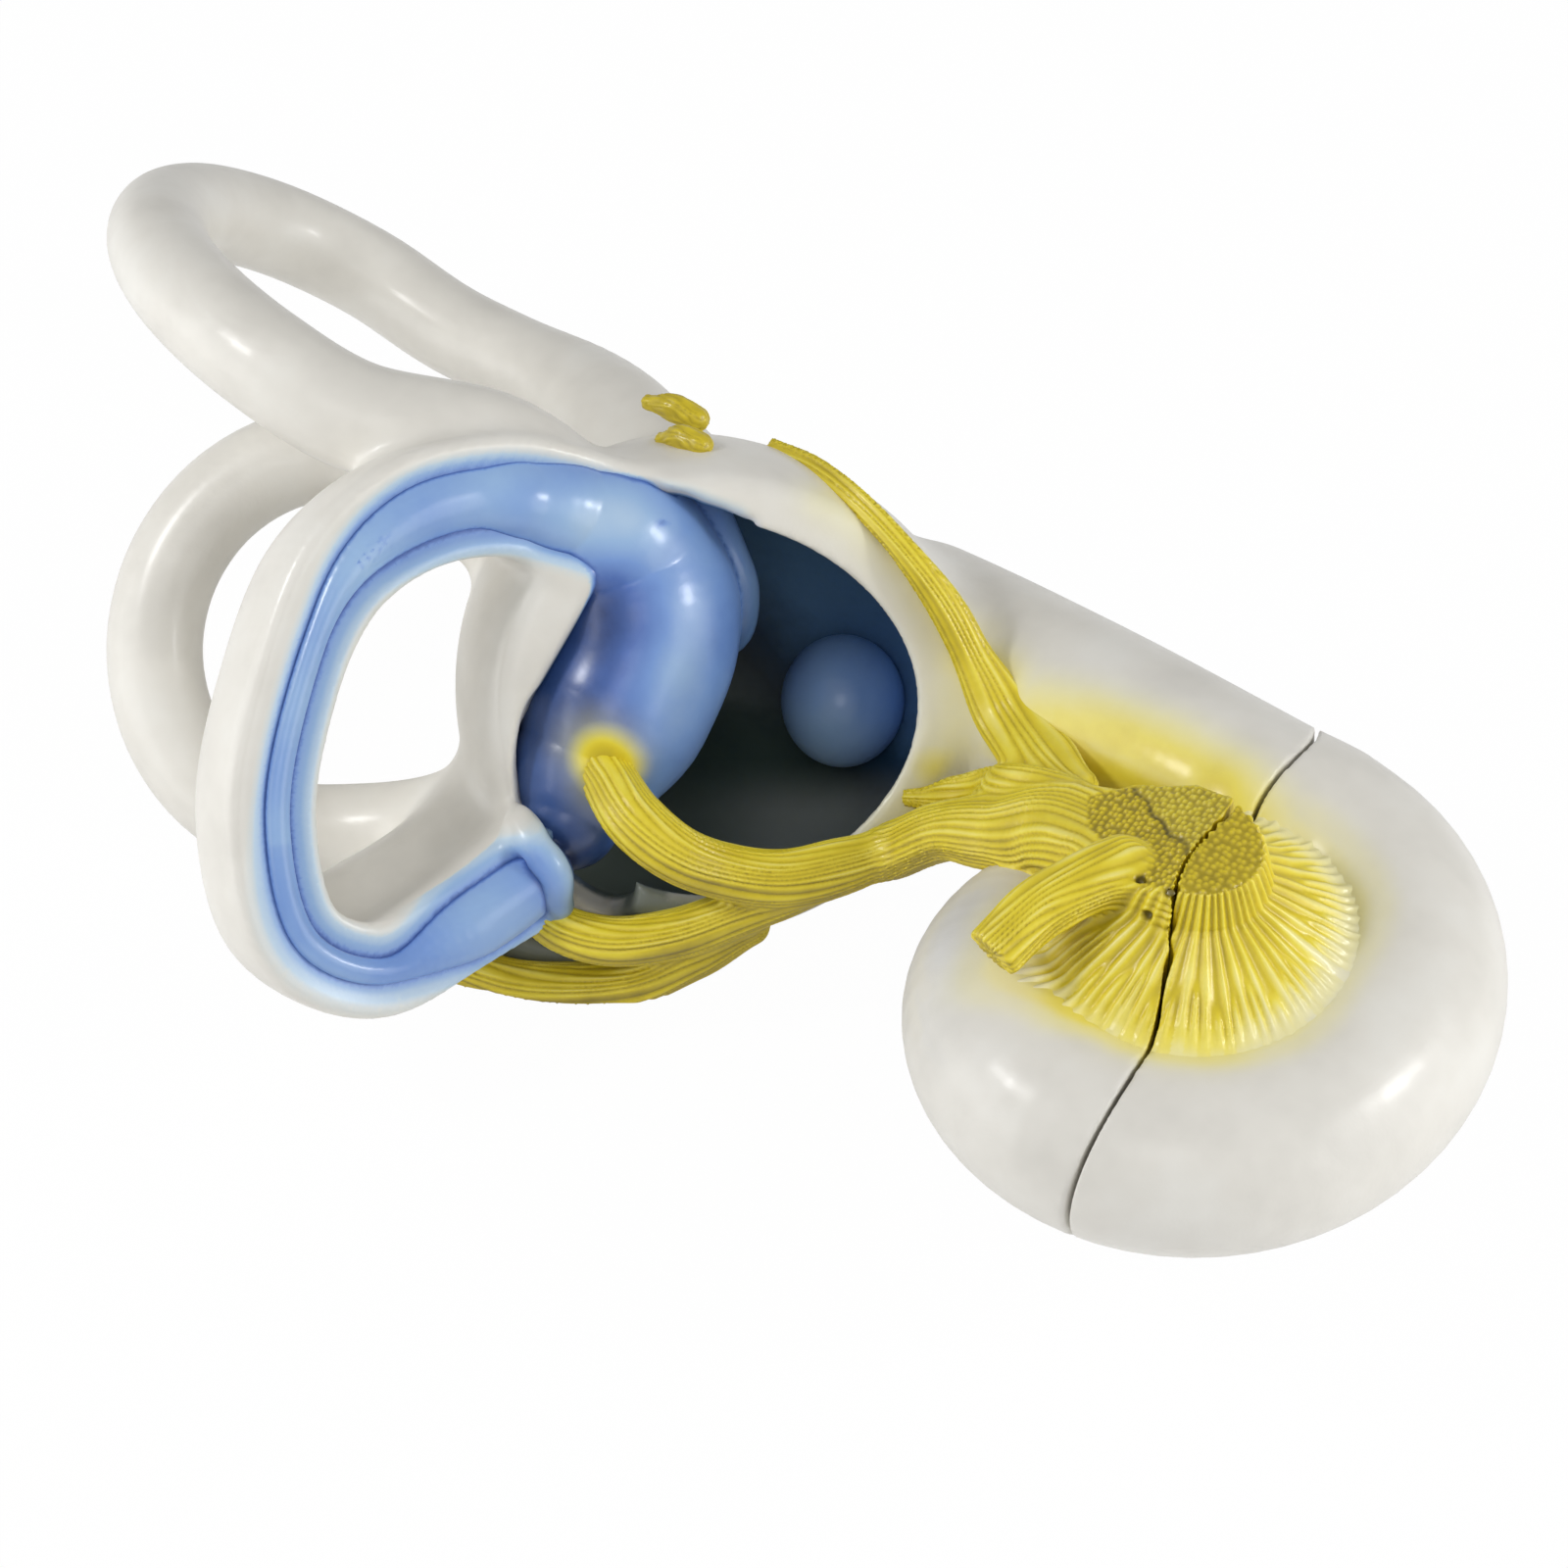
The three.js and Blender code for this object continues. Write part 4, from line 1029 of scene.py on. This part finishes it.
fan = fan_field(cap_block, cap_solid)
fan = meet(fan, cap_block.points()[2] - NERVE_TOP + 0 * fan, CUT_EDGE)
fan = np.maximum(fan, beyond_split(cap_block, CAP_SIDE))
fan_points, fan_quads, fan_normals = surface_of(cap_block, fan, fine=True)


# Relief of the nerves


def scattered(values):
    """A fixed jumble of numbers between 0 and 1."""
    jumble = np.sin(values[..., 0] * 127.1 + values[..., 1] * 311.7) * 43758.5453
    return jumble - np.floor(jumble)


DOT_SPACING = 1.3
RELIEF = 0.62  # height of the fibres, ridges and dots


def stipple(across, along, spacing):
    """Rounded dots, close together and uneven, from 0 between them to 1."""
    place = np.column_stack([across, along]) / spacing
    cell = np.floor(place)
    least = np.full(len(place), 9.0)
    for shift in np.ndindex(3, 3):
        other = cell + shift - 1
        wander = np.column_stack([scattered(other), scattered(other + 17.3)])
        gap = np.linalg.norm(place - (other + 0.2 + 0.6 * wander), axis=1)
        least = np.minimum(least, gap)
    return smoothstep(1 - least / 0.62)


def fibre_wave(points, path, count):
    """Height of the fibres along a nerve, from 0 in a groove to 1 on a fibre."""
    (u, across, height, width, tall), _ = path.local(points)
    angle = np.arctan2(height / tall, across / width)
    phase = count * angle / 2 + 1.6 * np.sin(2 * angle + 4 * u) + 1.1 * np.sin(5 * angle - 3 * u)
    strands = np.abs(np.sin(phase + 2.5 * u))
    broken = 0.75 + 0.25 * np.sin(3 * angle + 9 * u) * np.sin(7 * angle - 5 * u)
    return strands**0.7 * broken


FIBRE_COUNTS = dict(zip(nerve_paths, (26, 22, 20, 14, 20, 34, 24)))


def raised(points, normals, height):
    return points + normals * height[:, None]


def nerve_relief(points, normals):
    """Height of fibres, fan ridges and stipple at each point, and where the cut faces are."""
    gaps = [nerve_block.sample(field, points) for field in nerve_fields.values()]
    gaps = np.column_stack(gaps)
    column_gap = nerve_block.sample(column, points)
    least = np.minimum(gaps.min(axis=1), column_gap)
    total = np.full(len(points), 1e-6)
    height = np.zeros(len(points))
    for k, name in enumerate(nerve_fields):
        near = gaps[:, k] < least + 2.5
        if not near.any():
            continue
        weight = np.exp(-(gaps[near, k] - least[near]) / 0.6)
        height[near] += weight * fibre_wave(points[near], nerve_paths[name], FIBRE_COUNTS[name])
        total[near] += weight
    weight = np.exp(-(column_gap - least) / 0.6)
    height += weight * fan_ridges(*fan_polar(points))
    total += weight
    on_face = smoothstep(0.5 - outline_gap(points[:, 0], points[:, 1]))
    near_cut = smoothstep(1 - np.abs(nerve_block.sample(trunk_cut, points)) / 0.9)
    return height / total, near_cut * (normals @ cut_normal > 0.8) * on_face


def nerve_trunk_gap(points):
    """Distance from the nerves other than the cochlear one."""
    return np.min([nerve_block.sample(field, points) for field in nerve_fields.values()], axis=0)


CASTING_PITS = [(109.1, -22.4, 80), (102.9, -20.7, 77.3), (106.5, -24.5, 74), (91.1, 36.3, 61.6)]


def pitted(points):
    """The small blow holes of the cast, from 0 outside them to 1 at their middle."""
    gaps = [np.linalg.norm(points - np.array(place), axis=1) for place in CASTING_PITS]
    return smoothstep(1.4 - np.min(gaps, axis=0) / 0.9)


relief, cut_mask = nerve_relief(nerve_points, nerve_normals)
divide_gap = (nerve_points - divide_point) @ divide_normal
divide_gap = divide_gap + 0.7 * np.sin(nerve_points[:, 0] * 0.7) * np.sin(nerve_points[:, 1] * 0.5)
divide_line = cut_mask * smoothstep(1 - np.abs(divide_gap) / 0.8) * 0.7
dots = stipple(nerve_points[:, 0] * 1.1, nerve_points[:, 1], DOT_SPACING)
relief = relief * (1 - cut_mask) + dots * cut_mask
relief = relief * (1 - divide_line)
relief_height = RELIEF - 0.1 * cut_mask + 0.5 * divide_line
fade_at_tips = smoothstep((2 - nerve_trunk_gap(nerve_points)) / 2)
fade_at_tips = np.maximum(fan_fade(nerve_points), fade_at_tips)
relief_height = relief_height * (0.15 + 0.85 * fade_at_tips)
nerve_points = raised(nerve_points, nerve_normals, relief_height * (relief - 0.6))
nerve_pits = pitted(nerve_points)
nerve_points = raised(nerve_points, nerve_normals, -1.1 * nerve_pits)
nerve_normals = normals_of(nerve_points, nerve_quads)

fan_relief = fan_ridges(*fan_polar(fan_points))
fan_cut = smoothstep((fan_points[:, 2] - NERVE_TOP + 0.6) / 0.5) * (fan_normals[:, 2] > 0.8)
dots = stipple(fan_points[:, 0], fan_points[:, 1], DOT_SPACING)
fan_relief = fan_relief * (1 - fan_cut) + dots * fan_cut
relief_height = (RELIEF - 0.15 * fan_cut) * (0.15 + 0.85 * fan_fade(fan_points))
fan_points = raised(fan_points, fan_normals, relief_height * (fan_relief - 0.5))
fan_normals = normals_of(fan_points, fan_quads)


# Paint. Each mask is a share from 0 to 1.


def fan_glow(points):
    """Stronger yellow along the fan's lower end."""
    return spray(points, [(102, -39, 62), (113, -39, 63), (125, -34, 64)], 12, 0.2)


def cochlea_halo(points):
    """Yellow airbrushed over the bone round the fan and beside the trunk."""
    ring = fan_tone(fan_share(points, halo_edge)) * smoothstep((points[:, 2] - 46) / 8)
    over_trunk = [(58, 14, 56), (70, 15, 61), (84, 14, 64), (98, 12, 66), (107, 8, 66)]
    beside_trunk = [(66, 9, 53), (80, 9, 59), (95, 7, 62), (104, 4, 64)]
    crease = fronts((40, 4, 20), (47, -6, 22), (52, -10, 30))
    corner = fronts((34, -16, 18), (41, -13, 22))
    strokes = sprays(
        points,
        (over_trunk, 17, 0.62),
        (beside_trunk, 15, 0.78),
        (crease, 13, 0.42),
        (corner, 9, 0.8),
        (rim_line(-45, 60), 13, 0.24),
    )
    return np.maximum(ring + fan_glow(points), strokes)


def rim_line(start, end):
    """Points along the rim of the vestibule, by the angle round its front."""
    line = []
    for angle in np.radians(np.linspace(start, end, 12)):
        right = 45 * math.cos(angle) - 6
        up = 43 * math.sin(angle) * (1 - VESTIBULE_TAPER * math.cos(angle))
        line.append(front(right, up, 21 - 0.131 * (right + 6) + 0.142 * up))
    return line


def bone_masks(points):
    egg_gap = bone_block.sample(hollow, points)
    below_rim = -((points - rim_point) @ unit(rim_normal))
    right = (points - vestibule_centre) @ RIGHT
    up = (points - vestibule_centre) @ UP
    # Painted shade in the vestibule's cavity: darker the deeper below the rim, starting lower
    # under a pale band at the top of the right wall.
    lip = 1.6 * smoothstep((right + 4) / 22) * smoothstep((up + 40) / 22)
    dark = smoothstep(1.8 - np.abs(egg_gap)) * smoothstep((below_rim - 0.2 - lip) / 3.4)
    # Painted shadow, dark all over, on the lower rim, on the bar under it and beside the second
    # nerve.
    low_rim_shade = sprays(
        points,
        (rim_line(205, 262), 9, 1.6),
        (under_rim.at[[3, -1]], 9, 3),
        (fronts((-30, -33, 15), (-19, -37.5, 16)), 7, 3),
    )
    from_origin = points - FRONT_ORIGIN
    inside = smoothstep((from_origin @ RIGHT + 40.5) / 3)
    inside = np.maximum(inside, smoothstep((14 - from_origin @ OUT) / 3))
    # Painted light on the cavity's floor, which takes off part of the painted shade.
    floor_light = 0.32 * smoothstep((-13 - from_origin @ UP) / 12)
    floor_light = floor_light * (0.3 + 0.7 * smoothstep((from_origin @ RIGHT + 12) / 20))
    dark = np.maximum(dark, 0.9 * np.minimum(low_rim_shade, 1)) * inside * (1 - floor_light)
    # The hue of the painted shade: bluer up and to the right and near the utricle, greenish grey
    # low and to the left.
    tint = smoothstep((right + up + 4) / 40)
    sac_gap = membrane_block.sample(membrane_fields["utricle"], points)
    tint = np.maximum(tint, 0.75 * smoothstep(1 - sac_gap / 9))

    (u, across, height, width, tall), distance = posterior_groove.local(points)
    beyond = np.sqrt(np.maximum(distance**2 - across**2 - height**2, 0))
    on_face = smoothstep((height + 4.4) / 0.8) * smoothstep(1 - beyond / 3)
    past_duct = np.abs(across) - duct_radius(u)
    inner_wash = keyed([(-1, 0.5), (0.4, 0.46), (1.6, 0.36), (3.2, 0.2), (4.8, 0.06), (6, 0)])
    outer_wash = keyed([(-1, 0.48), (0.2, 0.4), (1.1, 0.2), (2.2, 0.08), (3.2, 0)])
    spread = 1 + 1.1 * smoothstep((u - 0.5) / 0.15)
    wash = np.where(across > 0, outer_wash(past_duct / spread), inner_wash(past_duct))
    wash = wash * (1 - 0.5 * smoothstep((u - 0.93) / 0.03))
    duct_gap = membrane_block.sample(membrane_fields["posterior_duct"], points)
    # A darker blue line along each crease where the duct meets the bone, painted shade, stronger
    # on one side and weaker at the ampulla.
    crease_strength = np.where(across < 0, 0.78, 0.6) - 0.25 * (u > 0.93)
    crease = smoothstep(1 - np.minimum(duct_gap, sac_gap) / 1.5) * crease_strength
    blue = np.maximum(wash, crease) * on_face
    smudges = spray(points, [on_section(-8, -34), on_section(-6, -28)], 3.0, 0.3)
    mouth_line = fronts((-17, 34.5, 26), (-11, 33, 26), (-2, 29.5, 25))
    mouth_edge = spray(points, mouth_line, 3.5, 0.2)
    return {
        "blue": np.maximum.reduce([blue, smudges, mouth_edge * (1 - dark)]),
        "yellow": cochlea_halo(points),
        "dark": dark,
        "tint": tint,
    }


# Short darker ticks across the utricle and its duct

MEMBRANE_TICKS = [
    ((-28.8, 32.3, 28), (-28.3, 30.2, 28)),
    ((-56.6, -37.4, 29), (-55.4, -39.6, 29)),
    ((-86.8, -36, 30), (-86.4, -38, 30)),
]
# Darker and lighter places of the utricle, painted shade and painted light: amount, radius and the
# ends of the stroke. The lighter place on the neck is a painted highlight.
MEMBRANE_LIGHT_AND_SHADE = [
    (0.12, 12, (-24, 12, 26), (-22, 8, 26)),
    (-0.26, 14, (-28, 27, 29), (-24, 29, 28)),
    (-0.1, 9, (-10, 12, 25), (-12, 4, 25)),
]


def membrane_masks(points, normals):
    bone_gap = bone_block.sample(bone, points)
    sac_gap, duct_gap, lower_gap = (
        membrane_block.sample(field, points)
        for field in (membrane_fields["utricle"], membrane_fields["superior_duct"], lower_field)
    )
    # Painted shade: darker blue in the crease where a membrane meets the bone.
    crease = smoothstep(1 - bone_gap / 1.3)
    right = (points - vestibule_centre) @ RIGHT
    up = (points - vestibule_centre) @ UP
    in_utricle = smoothstep((5 - sac_gap) / 5)
    clouds = np.sin(0.16 * right + 0.11 * up) * np.sin(0.13 * up - 0.07 * right + 1)
    base = 0.39 + 0.07 * clouds + 0.06 * smoothstep(2 - lower_gap)
    # Painted light by facing: where the surface turns away from the front, the painted shade on
    # the membranes turns lighter blue.
    edge = smoothstep(1.05 - normals @ OUT * 1.25)
    # Painted shade: the utricle darker on its left side.
    left_side_shade = smoothstep((-right - 8) / 16) * smoothstep((30 - up) / 18)
    base = base + in_utricle * (0.12 + 0.3 * left_side_shade)
    for amount, radius, *stroke in MEMBRANE_LIGHT_AND_SHADE:
        base = base + amount * spray(points, fronts(*stroke), radius, 1.0)
    # Painted shade on the utricle's lower left.
    low_left_shade = smoothstep((-right - 24) / 10) * smoothstep((22 - up) / 16) * in_utricle
    nerve_root = spray(points, fronts((-26, -13, 22), (-21, -21, 27)), 9.5, 0.8)
    green = spray(points, fronts((-27, -12, 22), (-24, -20, 26)), 12.5, 0.22)
    # Painted shade in the crease where the superior duct meets the utricle.
    line = smoothstep(1 - np.abs(duct_gap - sac_gap)) * smoothstep(1 - (duct_gap + sac_gap) / 2)
    # Painted shade where the superior duct runs low behind the utricle.
    strip_up = (points - FRONT_ORIGIN) @ UP
    strip_end_shade = 0.6 * smoothstep((24 - strip_up) / 18) * smoothstep(sac_gap - duct_gap)
    ticks = sprays(points, *((fronts(*stroke), 1.3, 0.5) for stroke in MEMBRANE_TICKS))
    return {
        "blue": np.maximum.reduce([base, crease * 0.74, line * 0.85, base + ticks]),
        "yellow": np.maximum(nerve_root, green),
        "dark": np.maximum(0.2 * low_left_shade, strip_end_shade),
        "tint": 0.6 + 0.2 * edge,
    }


def fan_paint(points, relief, depth):
    """Yellow of the fan, with painted shade between its ridges, darker by the given depth."""
    share = fan_share(points)
    between = depth * (1 - relief) * smoothstep((1.02 - share) / 0.3)
    return fan_tone(share) + between + fan_glow(points)


def nerve_paint_share(points, normals, relief, cut):
    """Yellow of the nerves: paler on the fibres as a painted highlight, darker between them and
    underneath as painted shade.
    """
    # Painted shade on the undersides.
    under = smoothstep(-(normals @ UP))
    yellow = 0.43 + 0.32 * (1 - relief) + 0.24 * under
    past_divide = (points - divide_point) @ divide_normal
    yellow = yellow + 0.12 * cut - 0.1 * cut * smoothstep(past_divide + 0.5)
    # Painted shade in the divide groove and in the casting pits.
    yellow = yellow + 0.25 * divide_line + 0.6 * nerve_pits
    on_fan = smoothstep((nerve_trunk_gap(points) - 1) / 2) * smoothstep((points[:, 2] - 56) / 3)
    share = fan_share(points)
    left_fan = smoothstep((112 - points[:, 0]) / 12) * smoothstep((-26 - points[:, 1]) / 8)
    fan_yellow = fan_paint(points, relief, 0.2)
    fan_yellow = fan_yellow - 0.14 * left_fan * smoothstep((share - 0.6) / 0.3)
    return yellow + (fan_yellow - yellow) * on_fan * (1 - cut) * smoothstep((share - 0.55) / 0.2)


def nerve_masks(yellow, dark=0):
    zeros = 0 * yellow
    return {"blue": zeros, "yellow": yellow, "dark": dark + zeros, "tint": zeros}


green_cut = 0.14 * cut_mask * smoothstep(divide_gap + 0.5)
bundle_yellow = nerve_paint_share(nerve_points, nerve_normals, relief, cut_mask)
fan_yellow = fan_paint(fan_points, fan_relief, 0.22) + 0.12 * fan_cut


# Materials


def linear(red, green, blue):
    """A colour given as it looks, 0 to 255."""
    return tuple(
        c / 12.92 if c <= 0.04045 else ((c + 0.055) / 1.055) ** 2.4
        for c in (red / 255, green / 255, blue / 255)
    ) + (1.0,)


def set_inputs(node, **values):
    for key, value in values.items():
        node.inputs[key.replace("_", " ").title()].default_value = value


class Nodes:
    """Short ways to add and join shader nodes."""

    def __init__(self, material):
        material.use_nodes = True
        self.tree = material.node_tree
        self.shader = self.tree.nodes["Principled BSDF"]

    def add(self, kind, **settings):
        node = self.tree.nodes.new("ShaderNode" + kind)
        for key, value in settings.items():
            setattr(node, key, value)
        return node

    def link(self, source, target):
        self.tree.links.new(source, target)

    def mask(self, name):
        return self.add("Attribute", attribute_name=name).outputs["Fac"]

    def noise(self, scale, detail=3.0, stretch=None):
        node = self.add("TexNoise")
        set_inputs(node, scale=scale, detail=detail, roughness=0.55)
        place = self.add("TexCoord").outputs["Object"]
        if stretch:
            mapping = self.add("Mapping")
            set_inputs(mapping, scale=stretch)
            self.link(place, mapping.inputs["Vector"])
            place = mapping.outputs["Vector"]
        self.link(place, node.inputs["Vector"])
        return node.outputs["Fac"]

    def maths(self, kind, a, b, clamp=False):
        node = self.add("Math", operation=kind, use_clamp=clamp)
        for value, socket in ((a, node.inputs[0]), (b, node.inputs[1])):
            if isinstance(value, (int, float)):
                socket.default_value = value
            else:
                self.link(value, socket)
        return node.outputs[0]

    def ramp(self, factor, stops):
        """A colour read along stops of a place and the red, green and blue there."""
        node = self.add("ValToRGB")
        elements = node.color_ramp.elements
        while len(elements) < len(stops):
            elements.new(0.5)
        for element, (place, *colour) in zip(elements, stops):
            element.position = place
            element.color = linear(*colour)
        self.link(factor, node.inputs["Fac"])
        return node.outputs["Color"]

    def mix(self, factor, a, b):
        node = self.add("Mix", data_type="RGBA")
        colours = [s for s in node.inputs if s.type == "RGBA"]
        self.link(factor, node.inputs[0])
        self.link(a, colours[0])
        self.link(b, colours[1])
        return [s for s in node.outputs if s.type == "RGBA"][0]

    def bump(self, height, strength, distance):
        node = self.add("Bump")
        set_inputs(node, strength=strength, distance=distance)
        self.link(height, node.inputs["Height"])
        return node.outputs["Normal"]

    def finish(self, colour, normal, **values):
        self.link(colour, self.shader.inputs["Base Color"])
        self.link(normal, self.shader.inputs["Normal"])
        set_inputs(self.shader, **values)


# Colours along each mask: place, red, green and blue

BONE_STOPS = [(0.3, 221, 218, 210), (0.5, 229, 226, 218), (0.72, 234, 232, 225)]
BLUE_STOPS = [
    (0.0, 226, 232, 226), (0.16, 196, 218, 236), (0.32, 156, 190, 230),
    (0.5, 122, 158, 220), (0.7, 78, 112, 184), (1.0, 26, 44, 92),
]
YELLOW_STOPS = [
    (0.0, 246, 243, 196), (0.25, 250, 240, 134), (0.45, 244, 228, 70),
    (0.6, 226, 204, 36), (0.78, 188, 166, 22), (1.0, 112, 98, 14),
]
# Colours of the dark mask along its tint: the painted shade of the cavity and the membranes, and
# the greenish grey of the trunk's cut face.
CAVITY_STOPS = [(0.0, 74, 90, 80), (0.3, 38, 56, 62), (0.6, 42, 72, 98), (1.0, 104, 146, 188)]


def painted(name, roughness, fine_bump):
    """Satin paint over a cast: bone white, with blue and yellow airbrushed on by masks, and a dark
    mask that lays on painted shade and the greenish grey of the trunk's cut face.
    """
    material = bpy.data.materials.new(name)
    nodes = Nodes(material)
    wander = nodes.maths("SUBTRACT", nodes.noise(160), 0.5)
    wander = nodes.maths("MULTIPLY", wander, 0.22)
    blue, yellow, dark, tint = (nodes.mask(key) for key in ("blue", "yellow", "dark", "tint"))
    colour = nodes.ramp(nodes.noise(55), BONE_STOPS)
    for mask, shift, cover, stops in (
        (blue, nodes.maths("MULTIPLY", wander, blue), 6.0, BLUE_STOPS),
        (yellow, wander, 1.9, YELLOW_STOPS),
    ):
        paint = nodes.ramp(nodes.maths("ADD", mask, shift), stops)
        colour = nodes.mix(nodes.maths("MULTIPLY", mask, cover, clamp=True), colour, paint)
    tint = nodes.maths("ADD", tint, nodes.maths("MULTIPLY", wander, 1.2))
    colour = nodes.mix(dark, colour, nodes.ramp(tint, CAVITY_STOPS))
    fine = nodes.bump(nodes.noise(700, detail=2), fine_bump, 0.0003)
    nodes.finish(colour, fine, roughness=roughness, coat_weight=0.4, coat_roughness=0.22)
    return material


def metal(name, colour, roughness):
    material = bpy.data.materials.new(name)
    nodes = Nodes(material)
    streaks = nodes.noise(400, stretch=(0.05, 1, 1))
    tone = nodes.ramp(streaks, [(0.3, *(0.86 * c for c in colour)), (0.7, *colour)])
    nodes.finish(tone, nodes.bump(streaks, 0.15, 0.0002), metallic=1.0, roughness=roughness)
    return material


bone_paint = painted("bone_paint", 0.42, 0.12)
membrane_paint = painted("membrane_paint", 0.3, 0.1)
nerve_paint = painted("nerve_paint", 0.42, 0.25)
steel = metal("pin_steel_finish", (196, 199, 203), 0.3)
brass = metal("socket_brass_finish", (198, 164, 92), 0.35)

# Pieces

masks = bone_masks(bone_surface[0])
cast(bone_block, bone_fields, bone_surface, masks, bone_paint, "bone")
masks = membrane_masks(membrane_surface[0], membrane_surface[2])
cast(membrane_block, membrane_fields, membrane_surface, masks, membrane_paint, "membrane")

masks = nerve_masks(bundle_yellow, green_cut)
bundle = add_mesh("vestibular_nerve_cast", nerve_points, nerve_quads, nerve_normals, masks)
dress(bundle, nerve_paint, "labyrinth", "nerve", *nerve_fields, "cochlear_nerve_fixed")

masks = bone_masks(cap_surface[0])
masks["dark"][:] = 0
masks["blue"][:] = 0
cap_piece = add_mesh("cochlea_cap_cast", *cap_surface, masks)
dress(cap_piece, bone_paint, "cochlea_cap", "bone", "cochlea_cap_half")
masks = nerve_masks(fan_yellow)
fan_piece = add_mesh("cochlear_nerve_fan", fan_points, fan_quads, fan_normals, masks)
dress(fan_piece, nerve_paint, "cochlea_cap", "nerve", "cochlear_nerve_cap")

STUB_REACH = 14
STUB_STEP = 0.35
STUB_FIBRES = 12
STUB_RELIEF = 0.4
DUCT_BLUE = 0.55

for name, path in stub_paths.items():
    middle = path.at.mean(axis=0)
    block = Block(middle - STUB_REACH, middle + STUB_REACH, STUB_STEP)
    points, quads = block.skin(block.sweep(path, reach=4))
    wave = fibre_wave(points, path, STUB_FIBRES)
    points = raised(points, normals_of(points, quads), STUB_RELIEF * (wave - 0.5))
    # Painted shade between the fibres of the stubs.
    masks = nerve_masks(0.6 + 0.2 * (1 - wave))
    piece = add_mesh(name + "_cast", points, quads, normals_of(points, quads), masks)
    dress(piece, nerve_paint, "labyrinth", "nerve", name)

for name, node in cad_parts.items():
    if name.startswith("dowel_pin"):
        coat(node, steel)
    elif name.startswith("dowel_socket"):
        coat(node, brass)
    elif "duct" in name and not node.hide_render:
        coat(node, membrane_paint)
        layer = node.data.attributes.new("blue", "FLOAT", "POINT")
        layer.data.foreach_set("value", [DUCT_BLUE] * len(node.data.vertices))

# Floor, light and camera

FLOOR_REACH = 6.0
FLOOR_DROP = 0.0002
FLOOR_GLOW = 0.98  # how much of the floor is plain white to the camera
WORLD_LIGHT = 0.36
LAMP_TARGET = front(25, -10, 0)
CAMERA_TARGET = np.array([17.56, -0.40, 25.4])
CAMERA_DISTANCE = 900
LENS = 112.5

# Name, direction by right, up and out, distance in millimetres, size in metres, power in watts
LAMPS = [
    ("left_lamp", (-0.70, 0.40, 0.58), 900, 0.16, 2.0),
    ("right_lamp", (0.80, 0.20, 0.57), 900, 0.16, 1.7),
    ("left_fill", (-0.98, -0.1, 0.2), 900, 0.9, 3.8),
    ("right_fill", (0.85, -0.1, 0.5), 900, 0.9, 3.0),
    ("front_lamp", (-0.1, 0, 0.99), 1300, 0.5, 1.0),
]


def add_stage():
    mesh = bpy.data.meshes.new("floor")
    square = ((-1, -1), (1, -1), (1, 1), (-1, 1))
    corners = [(FLOOR_REACH * x, FLOOR_REACH * y, 0) for x, y in square]
    mesh.from_pydata(corners, [], [(0, 1, 2, 3)])
    floor = add_object("floor", mesh)
    floor.location.z = -FLOOR_DROP
    material = bpy.data.materials.new("pale_floor")
    nodes = Nodes(material)
    set_inputs(nodes.shader, base_color=linear(250, 250, 250), roughness=0.9)
    white = nodes.add("Emission")
    blend = nodes.add("MixShader")
    camera_ray = nodes.add("LightPath").outputs["Is Camera Ray"]
    nodes.link(nodes.maths("MULTIPLY", camera_ray, FLOOR_GLOW), blend.inputs[0])
    nodes.link(nodes.shader.outputs[0], blend.inputs[1])
    nodes.link(white.outputs[0], blend.inputs[2])
    nodes.link(blend.outputs[0], nodes.tree.nodes["Material Output"].inputs["Surface"])
    mesh.materials.append(material)


def aim(thing, place, direction):
    """Puts a lamp or the camera at a place and points it along a direction."""
    thing.location = Vector(place * MM)
    thing.rotation_euler = Vector(direction).to_track_quat("-Z", "Y").to_euler()


def add_light(name, direction, distance, size, power):
    """A round soft lamp, placed by its direction from the middle of the model."""
    lamp = bpy.data.lights.new(name, "AREA")
    lamp.shape = "DISK"
    lamp.size = size
    lamp.energy = power
    towards = front_direction(*direction)
    aim(add_object(name, lamp), LAMP_TARGET + distance * towards, -towards)


def add_world():
    world = bpy.data.worlds.new("studio")
    bpy.context.scene.world = world
    world.use_nodes = True
    tree = world.node_tree
    background = tree.nodes["Background"]
    set_inputs(background, color=(1, 1, 1, 1))
    light_path = tree.nodes.new("ShaderNodeLightPath")
    strength = tree.nodes.new("ShaderNodeMix")
    strength.data_type = "FLOAT"
    strength.inputs[2].default_value = WORLD_LIGHT
    strength.inputs[3].default_value = 1.0
    tree.links.new(light_path.outputs["Is Camera Ray"], strength.inputs[0])
    tree.links.new(strength.outputs[0], background.inputs["Strength"])


def add_camera():
    lens = bpy.data.cameras.new("camera")
    lens.sensor_width = 36
    lens.lens = LENS
    lens.clip_start = 0.01
    lens.clip_end = 50
    camera = add_object("camera", lens)
    aim(camera, CAMERA_TARGET + CAMERA_DISTANCE * OUT, -OUT)
    bpy.context.scene.camera = camera


add_stage()
for lamp in LAMPS:
    add_light(*lamp)
add_world()
add_camera()
bpy.context.scene.view_settings.view_transform = "Standard"
